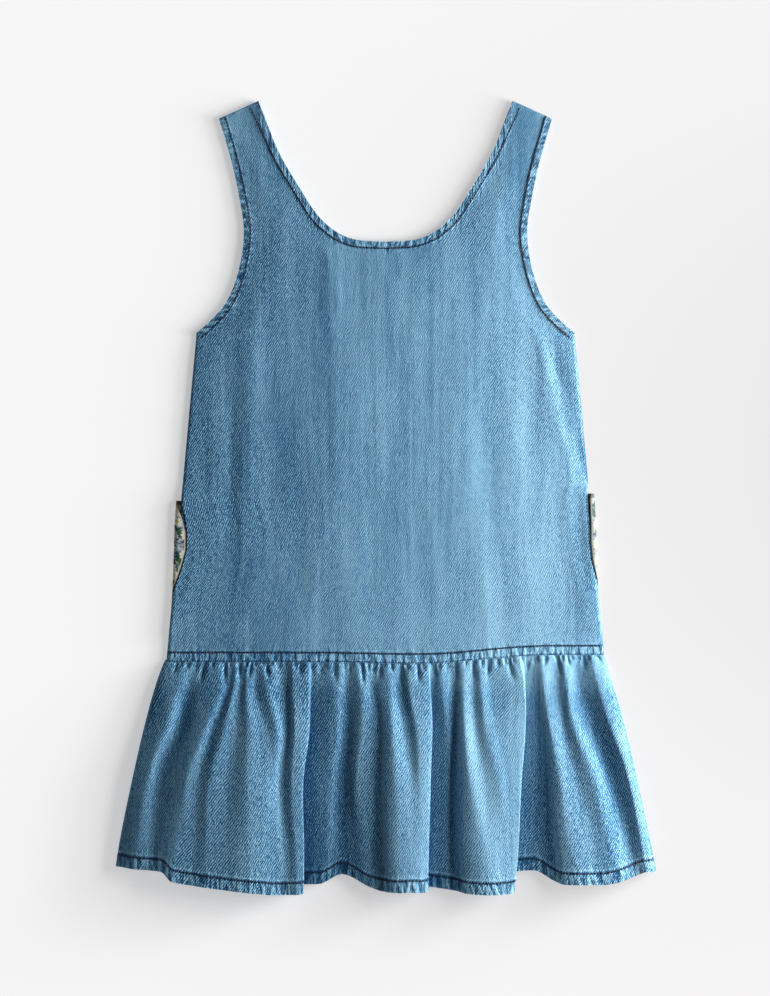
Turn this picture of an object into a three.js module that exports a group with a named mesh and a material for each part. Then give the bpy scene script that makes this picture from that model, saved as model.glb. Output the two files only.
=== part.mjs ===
// A child's denim pinafore dress laid flat, seen from its back, with printed patch pockets on the front.
// Millimetres. +Y runs up the dress to the straps, +X to the right, +Z up from the surface it lies on.
// The front panels lie underneath, face down; the back panels lie on them.

import * as THREE from 'three';

// Driving dimensions of the laid-out dress
const STRAP_INNER_X = 114.4;
const STRAP_INNER_Y = 357;
const STRAP_OUTER_X = 149.7;
const STRAP_OUTER_Y = 341;
const UNDERARM_X = 170;
const UNDERARM_Y = 148.5;
const WAIST_X = 197.2;
const WAIST_Y = -147;
const WAIST_LIFT = 6.2;          // the waist seam climbs by this much towards the right
const WAIST_LIFT_FROM = 40;
const WAIST_LIFT_TO = 150;
const WAIST_SAG = 1.4;           // and dips by this much near the middle
const WAIST_SAG_X = 22;
const WAIST_SAG_REACH = 45;
const FRONT_NECK_DROP = 9;       // the front neckline is cut this much lower than the back one
const FRONT_EDGE_INSET = 2.5;    // and its armholes lie this far inside the back panel's

// Cloth and the way it is sewn
const CLOTH = 1.0;               // one layer of denim
const HEM = 2.0;                 // a turned hem, two layers
const SKIRT_HEM = 1.6;
const SEAM_GAP = 0.3;
const EDGE_HEM_WIDTH = 6.8;      // turned hem along the neckline and armholes
const BAND_WIDTH = 9;            // seam allowance pressed up and stitched above the waist seam
const SKIRT_HEM_WIDTH = 13;
const STEP = 0.7;                // a hem's ridge falls away within this width

// How the layers lie
const FRONT_Z = CLOTH / 2;       // middle of the front panel's cloth, on the surface
const BACK_Z = 2.45;             // middle of the back panel's cloth along a free edge
const SIDE_LIFT = 0.9;           // extra height where the side seams hold the layers apart
const POCKET_SIDE_LIFT = 1.5;    // and where a pocket is folded in with them
const POCKET_SIDE_REACH = 22;
const PUFF = 0.5;                // air under the middle of the back panel
const ROLL = 2.2;                // reach of the rounded side fold
const ROLL_ARC = 3.3;            // length of cloth in a quarter of that fold
const SHOULDER_ROLL = 3.0;
const FREE_EDGE_EASE = 26;       // a free edge settles on the front over this width

// Long soft creases of the back panel: a ridge from one end to the other
const CREASES = [
  { x0: 146, y0: 150, x1: 178, y1: 0, height: 1.9, width: 9 },
  { x0: 162, y0: 30, x1: 184, y1: -120, height: 1.6, width: 9 },
  { x0: -50, y0: 228, x1: -36, y1: 150, height: 0.9, width: 7 },
  { x0: -120, y0: 190, x1: -132, y1: -60, height: 1.1, width: 16 },
  { x0: -40, y0: 150, x1: -52, y1: -90, height: 0.8, width: 18 },
  { x0: 62, y0: 170, x1: 70, y1: -80, height: 0.9, width: 20 },
];

// Outline of one half of the bodice, from the underarm up and from the middle out
const ARMHOLE = [
  { y: 148.5, x: 170 }, { y: 157, x: 159.8 }, { y: 175, x: 143.8 }, { y: 203, x: 132.6 },
  { y: 238, x: 127.4 }, { y: 270, x: 131.5 }, { y: 304, x: 139 }, { y: 341, x: 149.7 },
];
const NECKLINE = [
  { x: 0, y: 230.3 }, { x: 28, y: 232.6 }, { x: 46, y: 240.6 }, { x: 62, y: 255.5 },
  { x: 78, y: 280 }, { x: 95, y: 309 }, { x: 105, y: 332 }, { x: 114.4, y: 357 },
];

// Sides of the skirt: half width at each height
const SKIRT_SIDE = [
  { y: -333, left: 242.5, right: 242.5 }, { y: -308, left: 239, right: 238 },
  { y: -254, left: 228, right: 226.6 }, { y: -200, left: 215.6, right: 213.8 },
  { y: -164, left: 205.4, right: 203.4 }, { y: -142, left: 196.9, right: 196.9 },
];

// Patch pockets, caught in the side seams. `rise` is a length up the side from the waist seam.
const POCKET_TOP_RISE = 149;
const POCKET_BOTTOM_RISE = 30;
const POCKET_CORNER_RISE = 40;   // the rounded inner corner starts this far above the bottom
const POCKET_CORNER_FROM = 0.45;
const POCKET_INNER_SHARE = 0.47; // its inner edge, as a share of the body's half width
const POCKET_LIFT = 1.4;         // the front panel lies this much higher over a pocket
const POCKET_MARGIN = 9;
const POCKET_GAPE = 4.4;         // the mouth stands out past the side
const POCKET_GAPE_DEPTH = 46;
const POCKET_GAPE_REACH = 7;

// How far each side seam lies rolled onto the top, as a length of cloth from the side fold
const SEAM_SHIFT = [
  { rise: 62, left: 0, right: 0 }, { rise: 68, left: 1.4, right: 1.2 }, { rise: 74, left: 3.4, right: 2.4 },
  { rise: 88, left: 7.1, right: 4.6 }, { rise: 104, left: 9.9, right: 5.2 },
  { rise: 120, left: 9, right: 4.6 }, { rise: 134, left: 5.8, right: 4.4 },
  { rise: 143, left: 3, right: 4.2 }, { rise: 151, left: 0, right: 3 },
  { rise: 160, left: 0, right: 0 },
];

// Folds of the back skirt from left to right. Each crest's place at the seam, a quarter of the way
// down and at the hem, and its height there above the lowest cloth; the height of the valley to its
// right; where the hem ends under the crest, and how far it is drawn up in the valley; how far the
// flank between them rolls over at the hem.
const UPPER = 0.27;
const BACK_FOLDS = [
  { seam: -193, upper: -209, hem: -235, high: 7, hemHigh: 7, low: 5, hemLow: 6, hemY: -331, tuck: 0, roll: 0 },
  { seam: -184, upper: -198, hem: -221, high: 11, hemHigh: 8, low: 3, hemLow: 5, hemY: -333, tuck: 0, roll: 0 },
  { seam: -163, upper: -177, hem: -203, high: 9, hemHigh: 7, low: 6, hemLow: 2, hemY: -334, tuck: 0, roll: 5 },
  { seam: -144, upper: -165, hem: -188, high: 13, hemHigh: 18, low: 6, hemLow: 14, hemY: -344, tuck: 0, roll: 0 },
  { seam: -133, upper: -143, hem: -163, high: 11, hemHigh: 18, low: 7, hemLow: 16, hemY: -348, tuck: 0, roll: 0 },
  { seam: -120, upper: -126, hem: -138, high: 13, hemHigh: 21, low: 9, hemLow: 20, hemY: -352, tuck: 0, roll: 0 },
  { seam: -109, upper: -116, hem: -122, high: 16, hemHigh: 23, low: 12, hemLow: 22, hemY: -353.5, tuck: 0, roll: 0 },
  { seam: -96, upper: -98, hem: -103, high: 15, hemHigh: 22, low: 7, hemLow: 17, hemY: -355, tuck: 0, roll: 0 },
  { seam: -80, upper: -82, hem: -84, high: 15, hemHigh: 21, low: 12, hemLow: 20, hemY: -356, tuck: 0, roll: 0 },
  { seam: -70, upper: -72, hem: -75, high: 14, hemHigh: 21, low: 2, hemLow: 1, hemY: -353, tuck: 5, roll: 5.5 },
  { seam: -56, upper: -58, hem: -61, high: 6, hemHigh: 3, low: 2, hemLow: 2, hemY: -346, tuck: 0, roll: 0 },
  { seam: -42, upper: -46, hem: -50, high: 10, hemHigh: 5, low: 1, hemLow: 1, hemY: -344, tuck: 7, roll: 0 },
  { seam: -29, upper: -27, hem: -24, high: 8, hemHigh: 7, low: 6, hemLow: 6, hemY: -343, tuck: 0, roll: 0 },
  { seam: -16, upper: -14, hem: -12, high: 10, hemHigh: 9, low: 3, hemLow: 5, hemY: -349, tuck: 0, roll: 4 },
  { seam: 9, upper: 6, hem: 4, high: 14, hemHigh: 21, low: 7, hemLow: 19, hemY: -354, tuck: 0, roll: 0 },
  { seam: 22, upper: 29, hem: 25, high: 15, hemHigh: 22, low: 9, hemLow: 20.5, hemY: -354.5, tuck: 0, roll: 0 },
  { seam: 35, upper: 40, hem: 36, high: 13, hemHigh: 21, low: 2, hemLow: 3, hemY: -353, tuck: 3, roll: 4.5 },
  { seam: 49, upper: 52, hem: 53, high: 6, hemHigh: 4, low: 2, hemLow: 2.5, hemY: -351, tuck: 0, roll: 0 },
  { seam: 60, upper: 62, hem: 65, high: 7, hemHigh: 6, low: 2, hemLow: 5, hemY: -353, tuck: 0, roll: 0 },
  { seam: 71, upper: 73, hem: 95, high: 14, hemHigh: 19, low: 7, hemLow: 18, hemY: -356, tuck: 0, roll: 0 },
  { seam: 84, upper: 93, hem: 104, high: 12, hemHigh: 19.5, low: 9, hemLow: 18.7, hemY: -355.5, tuck: 0, roll: 0 },
  { seam: 99, upper: 108, hem: 111, high: 15, hemHigh: 19, low: 4, hemLow: 1, hemY: -354.5, tuck: 11, roll: 4.5 },
  { seam: 119, upper: 119, hem: 122, high: 13, hemHigh: 3, low: 2, hemLow: 1.5, hemY: -335, tuck: 0, roll: 0 },
  { seam: 140, upper: 145, hem: 150, high: 8, hemHigh: 8, low: 5, hemLow: 7.6, hemY: -341, tuck: 0, roll: 0 },
  { seam: 150, upper: 152, hem: 171, high: 13, hemHigh: 17, low: 7, hemLow: 13, hemY: -346.5, tuck: 0, roll: 0 },
  { seam: 163, upper: 172, hem: 202, high: 16, hemHigh: 18, low: 4, hemLow: 5, hemY: -345.5, tuck: 0, roll: 0 },
  { seam: 184, upper: 200, hem: 229, high: 12, hemHigh: 12, low: 7, hemLow: 9, hemY: -337, tuck: 0, roll: 0 },
  { seam: 192, upper: 207, hem: 236, high: 9, hemHigh: 9, low: 0, hemLow: 0, hemY: -335, tuck: 0, roll: 0 },
];
const BACK_BASE = 4.7;           // middle of the cloth in the lowest valleys
const SEAM_BASE = 3.5;
const SEAM_HIGH = 1.7;           // height of the gathers where the seam holds them
const GATHER_SHARE = 0.16;       // the gathers open out over this share of the skirt
const VALLEY_LEAN = 0.6;         // a valley lies nearer the lower of its two crests
const SKIRT_SIDE_Z = 2.6;        // height of the skirt's side seams
const SKIRT_LENGTH = 205;

// Folds of the front skirt, pressed flat by the back one
const FRONT_FOLD_COUNT = 26;
const FRONT_FOLD_HIGH = 2.2;
const FRONT_FOLD_SEAM_HIGH = 0.7;
const FRONT_FOLD_STRAY = 2.0;
const FRONT_SIDE_REACH = 4;
const FRONT_HEM_Y = -327;        // the front hem lies hidden inside the back one
const FRONT_HEM_BOW = 5;

const DENIM = { color: 0x6d97b5, roughness: 0.9, metalness: 0 };
const PRINT = { color: 0xc9d8c4, roughness: 0.85, metalness: 0 };

const lerp = THREE.MathUtils.lerp;
const clamp = THREE.MathUtils.clamp;
const smoothstep = THREE.MathUtils.smoothstep;

// A smooth curve through the rows of a table: column `value` against column `key`, which rises
function curveThrough(rows, key, value) {
  const at = rows.map((row) => row[key]);
  const to = rows.map((row) => row[value]);
  const last = rows.length - 1;
  const tangent = (i) => {
    const a = Math.max(0, i - 1);
    const b = Math.min(last, i + 1);
    return (to[b] - to[a]) / (at[b] - at[a]);
  };
  return (k) => {
    if (k <= at[0]) return to[0] + tangent(0) * (k - at[0]);
    if (k >= at[last]) return to[last] + tangent(last) * (k - at[last]);
    let i = 0;
    while (k > at[i + 1]) i += 1;
    const span = at[i + 1] - at[i];
    const u = (k - at[i]) / span;
    const u2 = u * u;
    const u3 = u2 * u;
    return (2 * u3 - 3 * u2 + 1) * to[i] + (u3 - 2 * u2 + u) * span * tangent(i)
      + (3 * u2 - 2 * u3) * to[i + 1] + (u3 - u2) * span * tangent(i + 1);
  };
}

const armholeX = curveThrough(ARMHOLE, 'y', 'x');
const necklineY = curveThrough(NECKLINE, 'x', 'y');
const skirtSideX = {
  left: curveThrough(SKIRT_SIDE, 'y', 'left'),
  right: curveThrough(SKIRT_SIDE, 'y', 'right'),
};
const sideName = (side) => (side < 0 ? 'left' : 'right');

// Outer half width of the body at a height
function halfWidth(y) {
  if (y > UNDERARM_Y) return armholeX(y);
  return lerp(UNDERARM_X, WAIST_X, (UNDERARM_Y - y) / (UNDERARM_Y - WAIST_Y));
}

function waistY(x) {
  const lift = WAIST_LIFT * smoothstep(x, WAIST_LIFT_FROM, WAIST_LIFT_TO);
  const sag = WAIST_SAG * Math.exp(-(((x - WAIST_SAG_X) / WAIST_SAG_REACH) ** 2));
  return WAIST_Y + lift - sag;
}

// Top edge of the body above a place across it: the neckline, then the fold at the strap's end
const STRAP_SLOPE = (STRAP_OUTER_Y - STRAP_INNER_Y) / (STRAP_OUTER_X - STRAP_INNER_X);
const strapEndY = (x) => STRAP_INNER_Y + STRAP_SLOPE * (x - STRAP_INNER_X);
const topEdgeY = (x) => (x < STRAP_INNER_X ? necklineY(x) : strapEndY(x));
const neckSlope = (x) => necklineY(x + 0.5) - necklineY(x - 0.5);

// Height at which the column that stays at `share` of the half width meets the top edge
function columnTop(share) {
  let low = UNDERARM_Y;
  let high = STRAP_INNER_Y + 1;
  for (let step = 0; step < 40; step += 1) {
    const middle = (low + high) / 2;
    if (topEdgeY(share * halfWidth(middle)) > middle) low = middle;
    else high = middle;
  }
  return low;
}

// Distances from a point of the body to its free edges and to the fold at the strap's end
function neckDistance(x, y, drop) {
  const ax = Math.min(Math.abs(x), STRAP_INNER_X);
  return Math.max(0, necklineY(ax) - drop - y) / Math.hypot(1, neckSlope(ax));
}

function armholeDistance(x, y) {
  if (y < UNDERARM_Y) return Math.hypot(UNDERARM_X - Math.abs(x), UNDERARM_Y - y);
  const slope = armholeX(y + 0.5) - armholeX(y - 0.5);
  return Math.max(0, halfWidth(y) - Math.abs(x)) / Math.hypot(1, slope);
}

function strapEndDistance(x, y) {
  return Math.max(0, strapEndY(Math.abs(x)) - y) / Math.hypot(1, STRAP_SLOPE);
}

// Thickness of a ridge that ends at `width` from an edge
function hemThickness(distance, width) {
  return lerp(HEM, CLOTH, smoothstep(distance, width - STEP / 2, width + STEP / 2));
}

function creaseHeight(x, y) {
  let height = 0;
  for (const crease of CREASES) {
    const dx = crease.x1 - crease.x0;
    const dy = crease.y1 - crease.y0;
    const length = Math.hypot(dx, dy);
    const along = ((x - crease.x0) * dx + (y - crease.y0) * dy) / (length * length);
    const across = ((x - crease.x0) * dy - (y - crease.y0) * dx) / length;
    const fade = Math.sin(Math.PI * clamp(along, 0, 1));
    height += crease.height * fade * Math.exp(-((across / crease.width) ** 2));
  }
  return height;
}

// Lengths up from the waist seam, and back to heights
const BODY_RISE = UNDERARM_Y - WAIST_Y;
const riseToY = (x, rise) => lerp(waistY(x), UNDERARM_Y, rise / BODY_RISE);
const yToRise = (x, y) => BODY_RISE * (y - waistY(x)) / (UNDERARM_Y - waistY(x));

// How far the front panel is lifted by the pocket under it, from 0 to 1
function pocketCover(x, y) {
  const rise = yToRise(x, y);
  const outside = Math.max(POCKET_BOTTOM_RISE - 3 - rise, rise - POCKET_TOP_RISE - 2);
  const share = Math.abs(x) / halfWidth(y);
  const across = smoothstep(share, POCKET_INNER_SHARE - 0.06, POCKET_INNER_SHARE - 0.01);
  return (1 - smoothstep(outside, 0, POCKET_MARGIN)) * across;
}

// Middle of the back panel's cloth, as a height above the surface
function backHeight(x, y) {
  const free = Math.min(neckDistance(x, y, 0), armholeDistance(x, y));
  const side = Math.max(0, halfWidth(y) - Math.abs(x));
  const open = smoothstep(free, 0, FREE_EDGE_EASE);
  const pocket = POCKET_SIDE_LIFT * pocketCover(x, y) * Math.exp(-side / POCKET_SIDE_REACH);
  const middle = 1 - Math.exp(-side / FREE_EDGE_EASE);
  return BACK_Z + pocket + open * (SIDE_LIFT + PUFF * middle + creaseHeight(x, y));
}

// A place round the side fold. `e` is the length of cloth from the fold, up onto the back where it is
// positive and under the front where it is negative. The outermost layer's middle lies here.
function stackPoint(side, e, y) {
  const turn = clamp(Math.abs(e) / ROLL_ARC, 0, 1) * Math.PI / 2;
  const inset = CLOTH / 2 + ROLL * (1 - Math.cos(turn)) + Math.max(0, Math.abs(e) - ROLL_ARC);
  const x = side * (halfWidth(y) - inset);
  const top = backHeight(x, y);
  const middle = (top + FRONT_Z) / 2;
  const half = (top - FRONT_Z) / 2;
  return new THREE.Vector3(x, y, middle + Math.sign(e) * half * Math.sin(turn));
}

function stackNormal(side, e, y) {
  const along = stackPoint(side, e + 0.05, y).sub(stackPoint(side, e - 0.05, y)).normalize();
  return new THREE.Vector3(side * along.z, 0, -side * along.x);
}

// Side seam's place round the fold, straight from row to row of the table
function seamShift(side, rise) {
  const i = SEAM_SHIFT.findIndex((row) => row.rise > rise);
  if (i <= 0) return 0;
  const below = SEAM_SHIFT[i - 1];
  const above = SEAM_SHIFT[i];
  const part = (rise - below.rise) / (above.rise - below.rise);
  return lerp(below[sideName(side)], above[sideName(side)], part);
}

// A closed wall of cloth round a grid of middle points, thickened along the grid's own normals.
// `seam` names the row that meets a straight seam across the dress, `sides` is true where the first and
// last columns meet a seam lying level, and nothing reaches below `floor`.
function clothWall(grid, thickness, { seam = null, sides = false, floor = -Infinity } = {}) {
  const rows = grid.length;
  const columns = grid[0].length;
  const slope = (get, k, count) => {
    if (k === 0) return get(1).clone().multiplyScalar(4).addScaledVector(get(0), -3).sub(get(2));
    if (k === count - 1) {
      return get(k).clone().multiplyScalar(3).addScaledVector(get(k - 1), -4).add(get(k - 2));
    }
    return get(k + 1).clone().sub(get(k - 1));
  };
  const points = [];
  for (const face of [1, -1]) {
    for (let i = 0; i < rows; i += 1) {
      for (let j = 0; j < columns; j += 1) {
        const across = slope((k) => grid[i][k], j, columns);
        const down = slope((k) => grid[k][j], i, rows);
        const normal = across.cross(down);
        if (i === seam) normal.setY(0);
        if (sides && (j === 0 || j === columns - 1)) normal.setZ(0);
        const half = face * thickness(grid[i][j], i, j) / 2;
        points.push(grid[i][j].clone().addScaledVector(normal.normalize(), half));
      }
    }
  }
  for (const point of points) point.z = Math.max(floor, point.z);
  const shift = rows * columns;
  const id = (i, j) => i * columns + j;
  const faces = [];
  const quad = (a, b, c, d) => faces.push(a, b, c, a, c, d);
  for (let i = 0; i < rows - 1; i += 1) {
    for (let j = 0; j < columns - 1; j += 1) {
      const corners = [id(i, j), id(i, j + 1), id(i + 1, j + 1), id(i + 1, j)];
      quad(...corners);
      quad(...corners.reverse().map((k) => k + shift));
    }
  }
  const rim = (a, b) => quad(b, a, a + shift, b + shift);
  for (let j = 0; j < columns - 1; j += 1) {
    rim(id(0, j), id(0, j + 1));
    rim(id(rows - 1, j + 1), id(rows - 1, j));
  }
  for (let i = 0; i < rows - 1; i += 1) {
    rim(id(i + 1, 0), id(i, 0));
    rim(id(i, columns - 1), id(i + 1, columns - 1));
  }
  const geometry = new THREE.BufferGeometry();
  const flat = points.flatMap((point) => [point.x, point.y, point.z]);
  geometry.setAttribute('position', new THREE.Float32BufferAttribute(flat, 3));
  geometry.setIndex(faces);
  geometry.computeVertexNormals();
  return geometry;
}

// Columns of the body panels: places round the side fold, then shares of the half width
const STRAP_SHARE = STRAP_INNER_X / armholeX(STRAP_INNER_Y);
const BACK_FOLD_STEPS = [0, 1, 2, 3.3, 6.2, 7.4];
const BACK_SHARES = [0.9, 0.82, STRAP_SHARE, 0.65, 0.55, 0.45, 0.34, 0.22, 0.11];
const FOLD_SHARES = [0, 0.17, 0.34, 0.5, 0.62, 0.74, 0.87, 1];
const FRONT_FOLD_END = -8;
const FRONT_SHARES = [0.88, STRAP_SHARE, 0.62, 0.52, 0.46, 0.4, 0.26, 0.13];
const POCKET_SHARES = [0.88, 0.78, 0.68, 0.6, 0.54, 0.5, POCKET_INNER_SHARE];

// Rows of the body panels: lengths up from the waist seam, then shares of the way from the underarm
const POCKET_ROWS = [30, 38, 62, 68, 74, 88, 104, 120, 134, 143, 149];
const BACK_ROWS = [0, 8.6, 9.4, 36, 62, 68, 74, 88, 104, 120, 134, 143, 151, 160, 185, 220, 255, 284, 291];
const BACK_UPPER_ROWS = [0, 0.08, 0.2, 0.34, 0.5, 0.68, 0.86];
const FRONT_ROWS = [0, 18, 27, 38, 62, 68, 74, 88, 104, 120, 134, 143, 151, 160, 185, 220, 255, 284, 291];
const FRONT_UPPER_ROWS = [0, 0.12, 0.3, 0.5, 0.75];

function bodyColumns(foldCount, shares) {
  const fold = Array.from({ length: foldCount }, (unused, k) => ({ side: -1, k, share: 1 }));
  const left = [...fold, ...shares.map((share) => ({ side: -1, share }))];
  const right = left.map((column) => ({ ...column, side: 1 })).reverse();
  return [...left, { side: 1, share: 0 }, ...right];
}

// Row heights of one column: the lower rows follow the waist seam, the upper ones the top edge
function columnHeights(column, { rows, upperRows, drop }) {
  const top = columnTop(column.share) - (column.share <= STRAP_SHARE ? drop : 0);
  const topX = column.share * halfWidth(top);
  const slope = column.share <= STRAP_SHARE ? neckSlope(Math.min(topX, STRAP_INNER_X)) : 0;
  const hem = EDGE_HEM_WIDTH * Math.hypot(1, slope);
  const waistX = column.side * column.share * WAIST_X;
  const lower = rows.map((rise) => riseToY(waistX, rise));
  const reach = top - hem * 1.1;
  const upper = upperRows.map((share) => lerp(UNDERARM_Y, reach, share));
  return [...lower, ...upper, reach, top - hem * 0.94, top - hem * 0.3, top];
}

function bodyGrid(spec, place) {
  const grid = [];
  for (const column of bodyColumns(spec.foldCount, spec.shares)) {
    columnHeights(column, spec).forEach((y, i) => {
      grid[i] ??= [];
      grid[i].push(settleStrap(place(column, y, spec.rows[i] ?? BODY_RISE), spec.strapZ));
    });
  }
  return grid;
}

// The strap ends curl towards each other at the shoulder fold
const STRAP_MIDDLE = (BACK_Z + FRONT_Z) / 2;

function settleStrap(point, strapZ) {
  if (Math.abs(point.x) < STRAP_INNER_X - 6 || point.y < STRAP_OUTER_Y - 12) return point;
  const near = 1 - clamp(strapEndDistance(point.x, point.y) / SHOULDER_ROLL, 0, 1);
  point.z = lerp(point.z, strapZ, 1 - Math.sqrt(1 - near * near));
  return point;
}

const freedom = (y) => smoothstep(y, UNDERARM_Y - 4, UNDERARM_Y);

function backPoint({ side, share, k }, y, rise) {
  const onFold = k !== undefined;
  const flatX = side * (onFold ? halfWidth(y) - BACK_FOLD_STEPS[k] : share * halfWidth(y));
  const flat = new THREE.Vector3(flatX, y, backHeight(flatX, y));
  if (!onFold) return flat;
  const e = seamShift(side, rise) + SEAM_GAP / 2 + BACK_FOLD_STEPS[k];
  return stackPoint(side, e, y).lerp(flat, freedom(y));
}

function bodyThickness({ x, y }) {
  const strapEnd = y > STRAP_OUTER_Y - 12 && Math.abs(x) > STRAP_INNER_X - 1;
  if (strapEnd && strapEndDistance(x, y) < 1) return CLOTH;
  const neck = Math.abs(x) <= STRAP_INNER_X ? neckDistance(x, y, 0) : Infinity;
  const armhole = lerp(CLOTH, hemThickness(armholeDistance(x, y), EDGE_HEM_WIDTH), freedom(y));
  const beside = smoothstep(halfWidth(y) - Math.abs(x), 1, 3.5);
  const band = lerp(CLOTH, hemThickness(y - waistY(x), BAND_WIDTH), beside);
  return Math.max(hemThickness(neck, EDGE_HEM_WIDTH), armhole, band);
}

function backBody() {
  const spec = {
    foldCount: BACK_FOLD_STEPS.length, shares: BACK_SHARES, rows: BACK_ROWS, upperRows: BACK_UPPER_ROWS,
    drop: 0, strapZ: STRAP_MIDDLE + (CLOTH + SEAM_GAP) / 2,
  };
  return clothWall(bodyGrid(spec, backPoint), bodyThickness, { seam: 0 });
}

// A place of the outermost layer round the fold and under the front, shared by front panel and pocket
function underPoint(side, share, k, y, rise) {
  if (k === undefined) return new THREE.Vector3(side * share * halfWidth(y), y, FRONT_Z);
  return stackPoint(side, foldPlace(side, k, rise), y);
}

function foldPlace(side, k, rise) {
  if (k >= FOLD_SHARES.length) return FRONT_FOLD_END;
  return lerp(seamShift(side, rise) - SEAM_GAP, -ROLL_ARC, FOLD_SHARES[k]);
}

// Outward direction of that layer
function underNormal(side, k, y, rise) {
  if (k === undefined || k >= FOLD_SHARES.length) return new THREE.Vector3(0, 0, -1);
  return stackNormal(side, foldPlace(side, k, rise), y);
}

function frontPoint({ side, share, k }, y, rise) {
  const point = underPoint(side, share, k, y, rise);
  const lift = POCKET_LIFT * pocketCover(point.x, y);
  point.addScaledVector(underNormal(side, k, y, rise), -lift);
  const flatX = side * (k === undefined ? share * halfWidth(y) : halfWidth(y) - k);
  const inset = FRONT_EDGE_INSET * Math.abs(flatX) / halfWidth(y);
  return point.lerp(new THREE.Vector3(flatX - side * inset, y, FRONT_Z), freedom(y));
}

function frontBody() {
  const spec = {
    foldCount: FOLD_SHARES.length + 1, shares: FRONT_SHARES, rows: FRONT_ROWS, upperRows: FRONT_UPPER_ROWS,
    drop: FRONT_NECK_DROP, strapZ: STRAP_MIDDLE - (CLOTH + SEAM_GAP) / 2,
  };
  return clothWall(bodyGrid(spec, frontPoint), () => CLOTH, { seam: 0, floor: 0 });
}

// A patch pocket lies on the front panel, whose own points it takes, moved out, and turns round the
// side fold with it. Its inner lower corner is rounded.
function pocket(side) {
  const fold = [...FOLD_SHARES, 1].map((unused, k) => ({ k, share: 1 }));
  const columns = [...fold, ...POCKET_SHARES.map((share) => ({ share }))];
  const last = columns.length - 1;
  const grid = POCKET_ROWS.map((row) => columns.map(({ k, share }, j) => {
    const inner = clamp((j / last - POCKET_CORNER_FROM) / (1 - POCKET_CORNER_FROM), 0, 1);
    const bottom = POCKET_BOTTOM_RISE + POCKET_CORNER_RISE * (1 - Math.sqrt(1 - inner * inner));
    const part = (row - POCKET_BOTTOM_RISE) / (POCKET_TOP_RISE - POCKET_BOTTOM_RISE);
    const rise = lerp(bottom, POCKET_TOP_RISE, part);
    const y = riseToY(side * share * WAIST_X, rise);
    const point = underPoint(side, share, k, y, rise);
    if (k === undefined) return point;
    const mouth = 1 - smoothstep(POCKET_TOP_RISE - rise, 0, POCKET_GAPE_DEPTH);
    const beside = Math.exp(-((foldPlace(side, k, rise) / POCKET_GAPE_REACH) ** 2));
    point.x += side * POCKET_GAPE * mouth * beside;
    return point;
  }));
  if (side > 0) grid.reverse();
  return clothWall(grid, () => CLOTH, { floor: 0 });
}

// Value at a share of the skirt's length of a place given at the seam, the upper station and the hem
function throughStations(seam, upper, hem, t) {
  const a = ((t - UPPER) * (t - 1)) / UPPER;
  const b = (t * (t - 1)) / (UPPER * (UPPER - 1));
  const c = (t * (t - UPPER)) / (1 - UPPER);
  return a * seam + b * upper + c * hem;
}

// Height of a crest or valley: the seam holds it low, then the gathers open out
function foldHeight(seam, upper, hem, t) {
  const open = 1 - (1 - clamp(t / GATHER_SHARE, 0, 1)) ** 2;
  return lerp(seam, lerp(upper, hem, smoothstep(t, UPPER, 1)), open);
}

// Crests and valleys of the back skirt at a share of its length
function foldStations(t) {
  const base = lerp(SEAM_BASE, BACK_BASE, smoothstep(t, 0, GATHER_SHARE));
  const stations = [];
  BACK_FOLDS.forEach((fold, i) => {
    const x = throughStations(fold.seam, fold.upper, fold.hem, t);
    const high = foldHeight(SEAM_HIGH, fold.high, fold.hemHigh, t);
    stations.push({ x, z: base + high, hemY: fold.hemY, roll: fold.roll });
    const next = BACK_FOLDS[i + 1];
    if (!next) return;
    const nextX = throughStations(next.seam, next.upper, next.hem, t);
    const nextHigh = foldHeight(SEAM_HIGH, next.high, next.hemHigh, t);
    const share = lerp(0.5, high / (high + nextHigh), VALLEY_LEAN);
    stations.push({
      x: lerp(x, nextX, share),
      z: base + foldHeight(0, fold.low, fold.hemLow, t),
      hemY: (fold.hemY + next.hemY) / 2 + fold.tuck,
      roll: fold.roll,
    });
  });
  return stations;
}

const skirtTopY = (x) => waistY(clamp(x, -WAIST_X, WAIST_X)) - SEAM_GAP;

// One row of the back skirt: a rounded side, a wave between each crest and valley, and the other side
const SIDE_STEPS = 5;
const WAVE_STEPS = 2;
const ROLLED_STEPS = 4;

function backSkirtRow(t) {
  const stations = foldStations(t);
  const row = [];
  const put = (x, z, hemY) => row.push(new THREE.Vector3(x, lerp(skirtTopY(x), hemY, t), z));
  const rounded = (side, crest, q) => {
    const y = lerp(skirtTopY(crest.x), crest.hemY, t);
    const seamX = side * (skirtSideX[sideName(side)](y) - CLOTH / 2);
    const turn = q * Math.PI / 2;
    const z = lerp(SKIRT_SIDE_Z + SEAM_GAP / 2, crest.z, Math.sin(turn));
    put(lerp(seamX, crest.x, 1 - Math.cos(turn)), z, crest.hemY);
  };
  for (let k = 0; k < SIDE_STEPS; k += 1) rounded(-1, stations[0], k / SIDE_STEPS);
  const opened = smoothstep(t, UPPER, 0.95);
  for (let i = 0; i < stations.length - 1; i += 1) {
    const from = stations[i];
    const to = stations[i + 1];
    const steep = BACK_FOLDS[Math.floor(i / 2)].roll > 0;
    const roll = steep ? rollBetween(from, to) * opened : 0;
    const steps = steep ? ROLLED_STEPS : WAVE_STEPS;
    for (let k = 0; k < steps; k += 1) {
      const q = k / steps;
      const wave = (1 - Math.cos(Math.PI * q)) / 2;
      const x = lerp(from.x, to.x, q) + roll * Math.sin(2 * Math.PI * q);
      put(x, lerp(from.z, to.z, wave), lerp(from.hemY, to.hemY, wave));
    }
  }
  for (let k = SIDE_STEPS; k >= 0; k -= 1) rounded(1, stations[stations.length - 1], k / SIDE_STEPS);
  return row;
}

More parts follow.
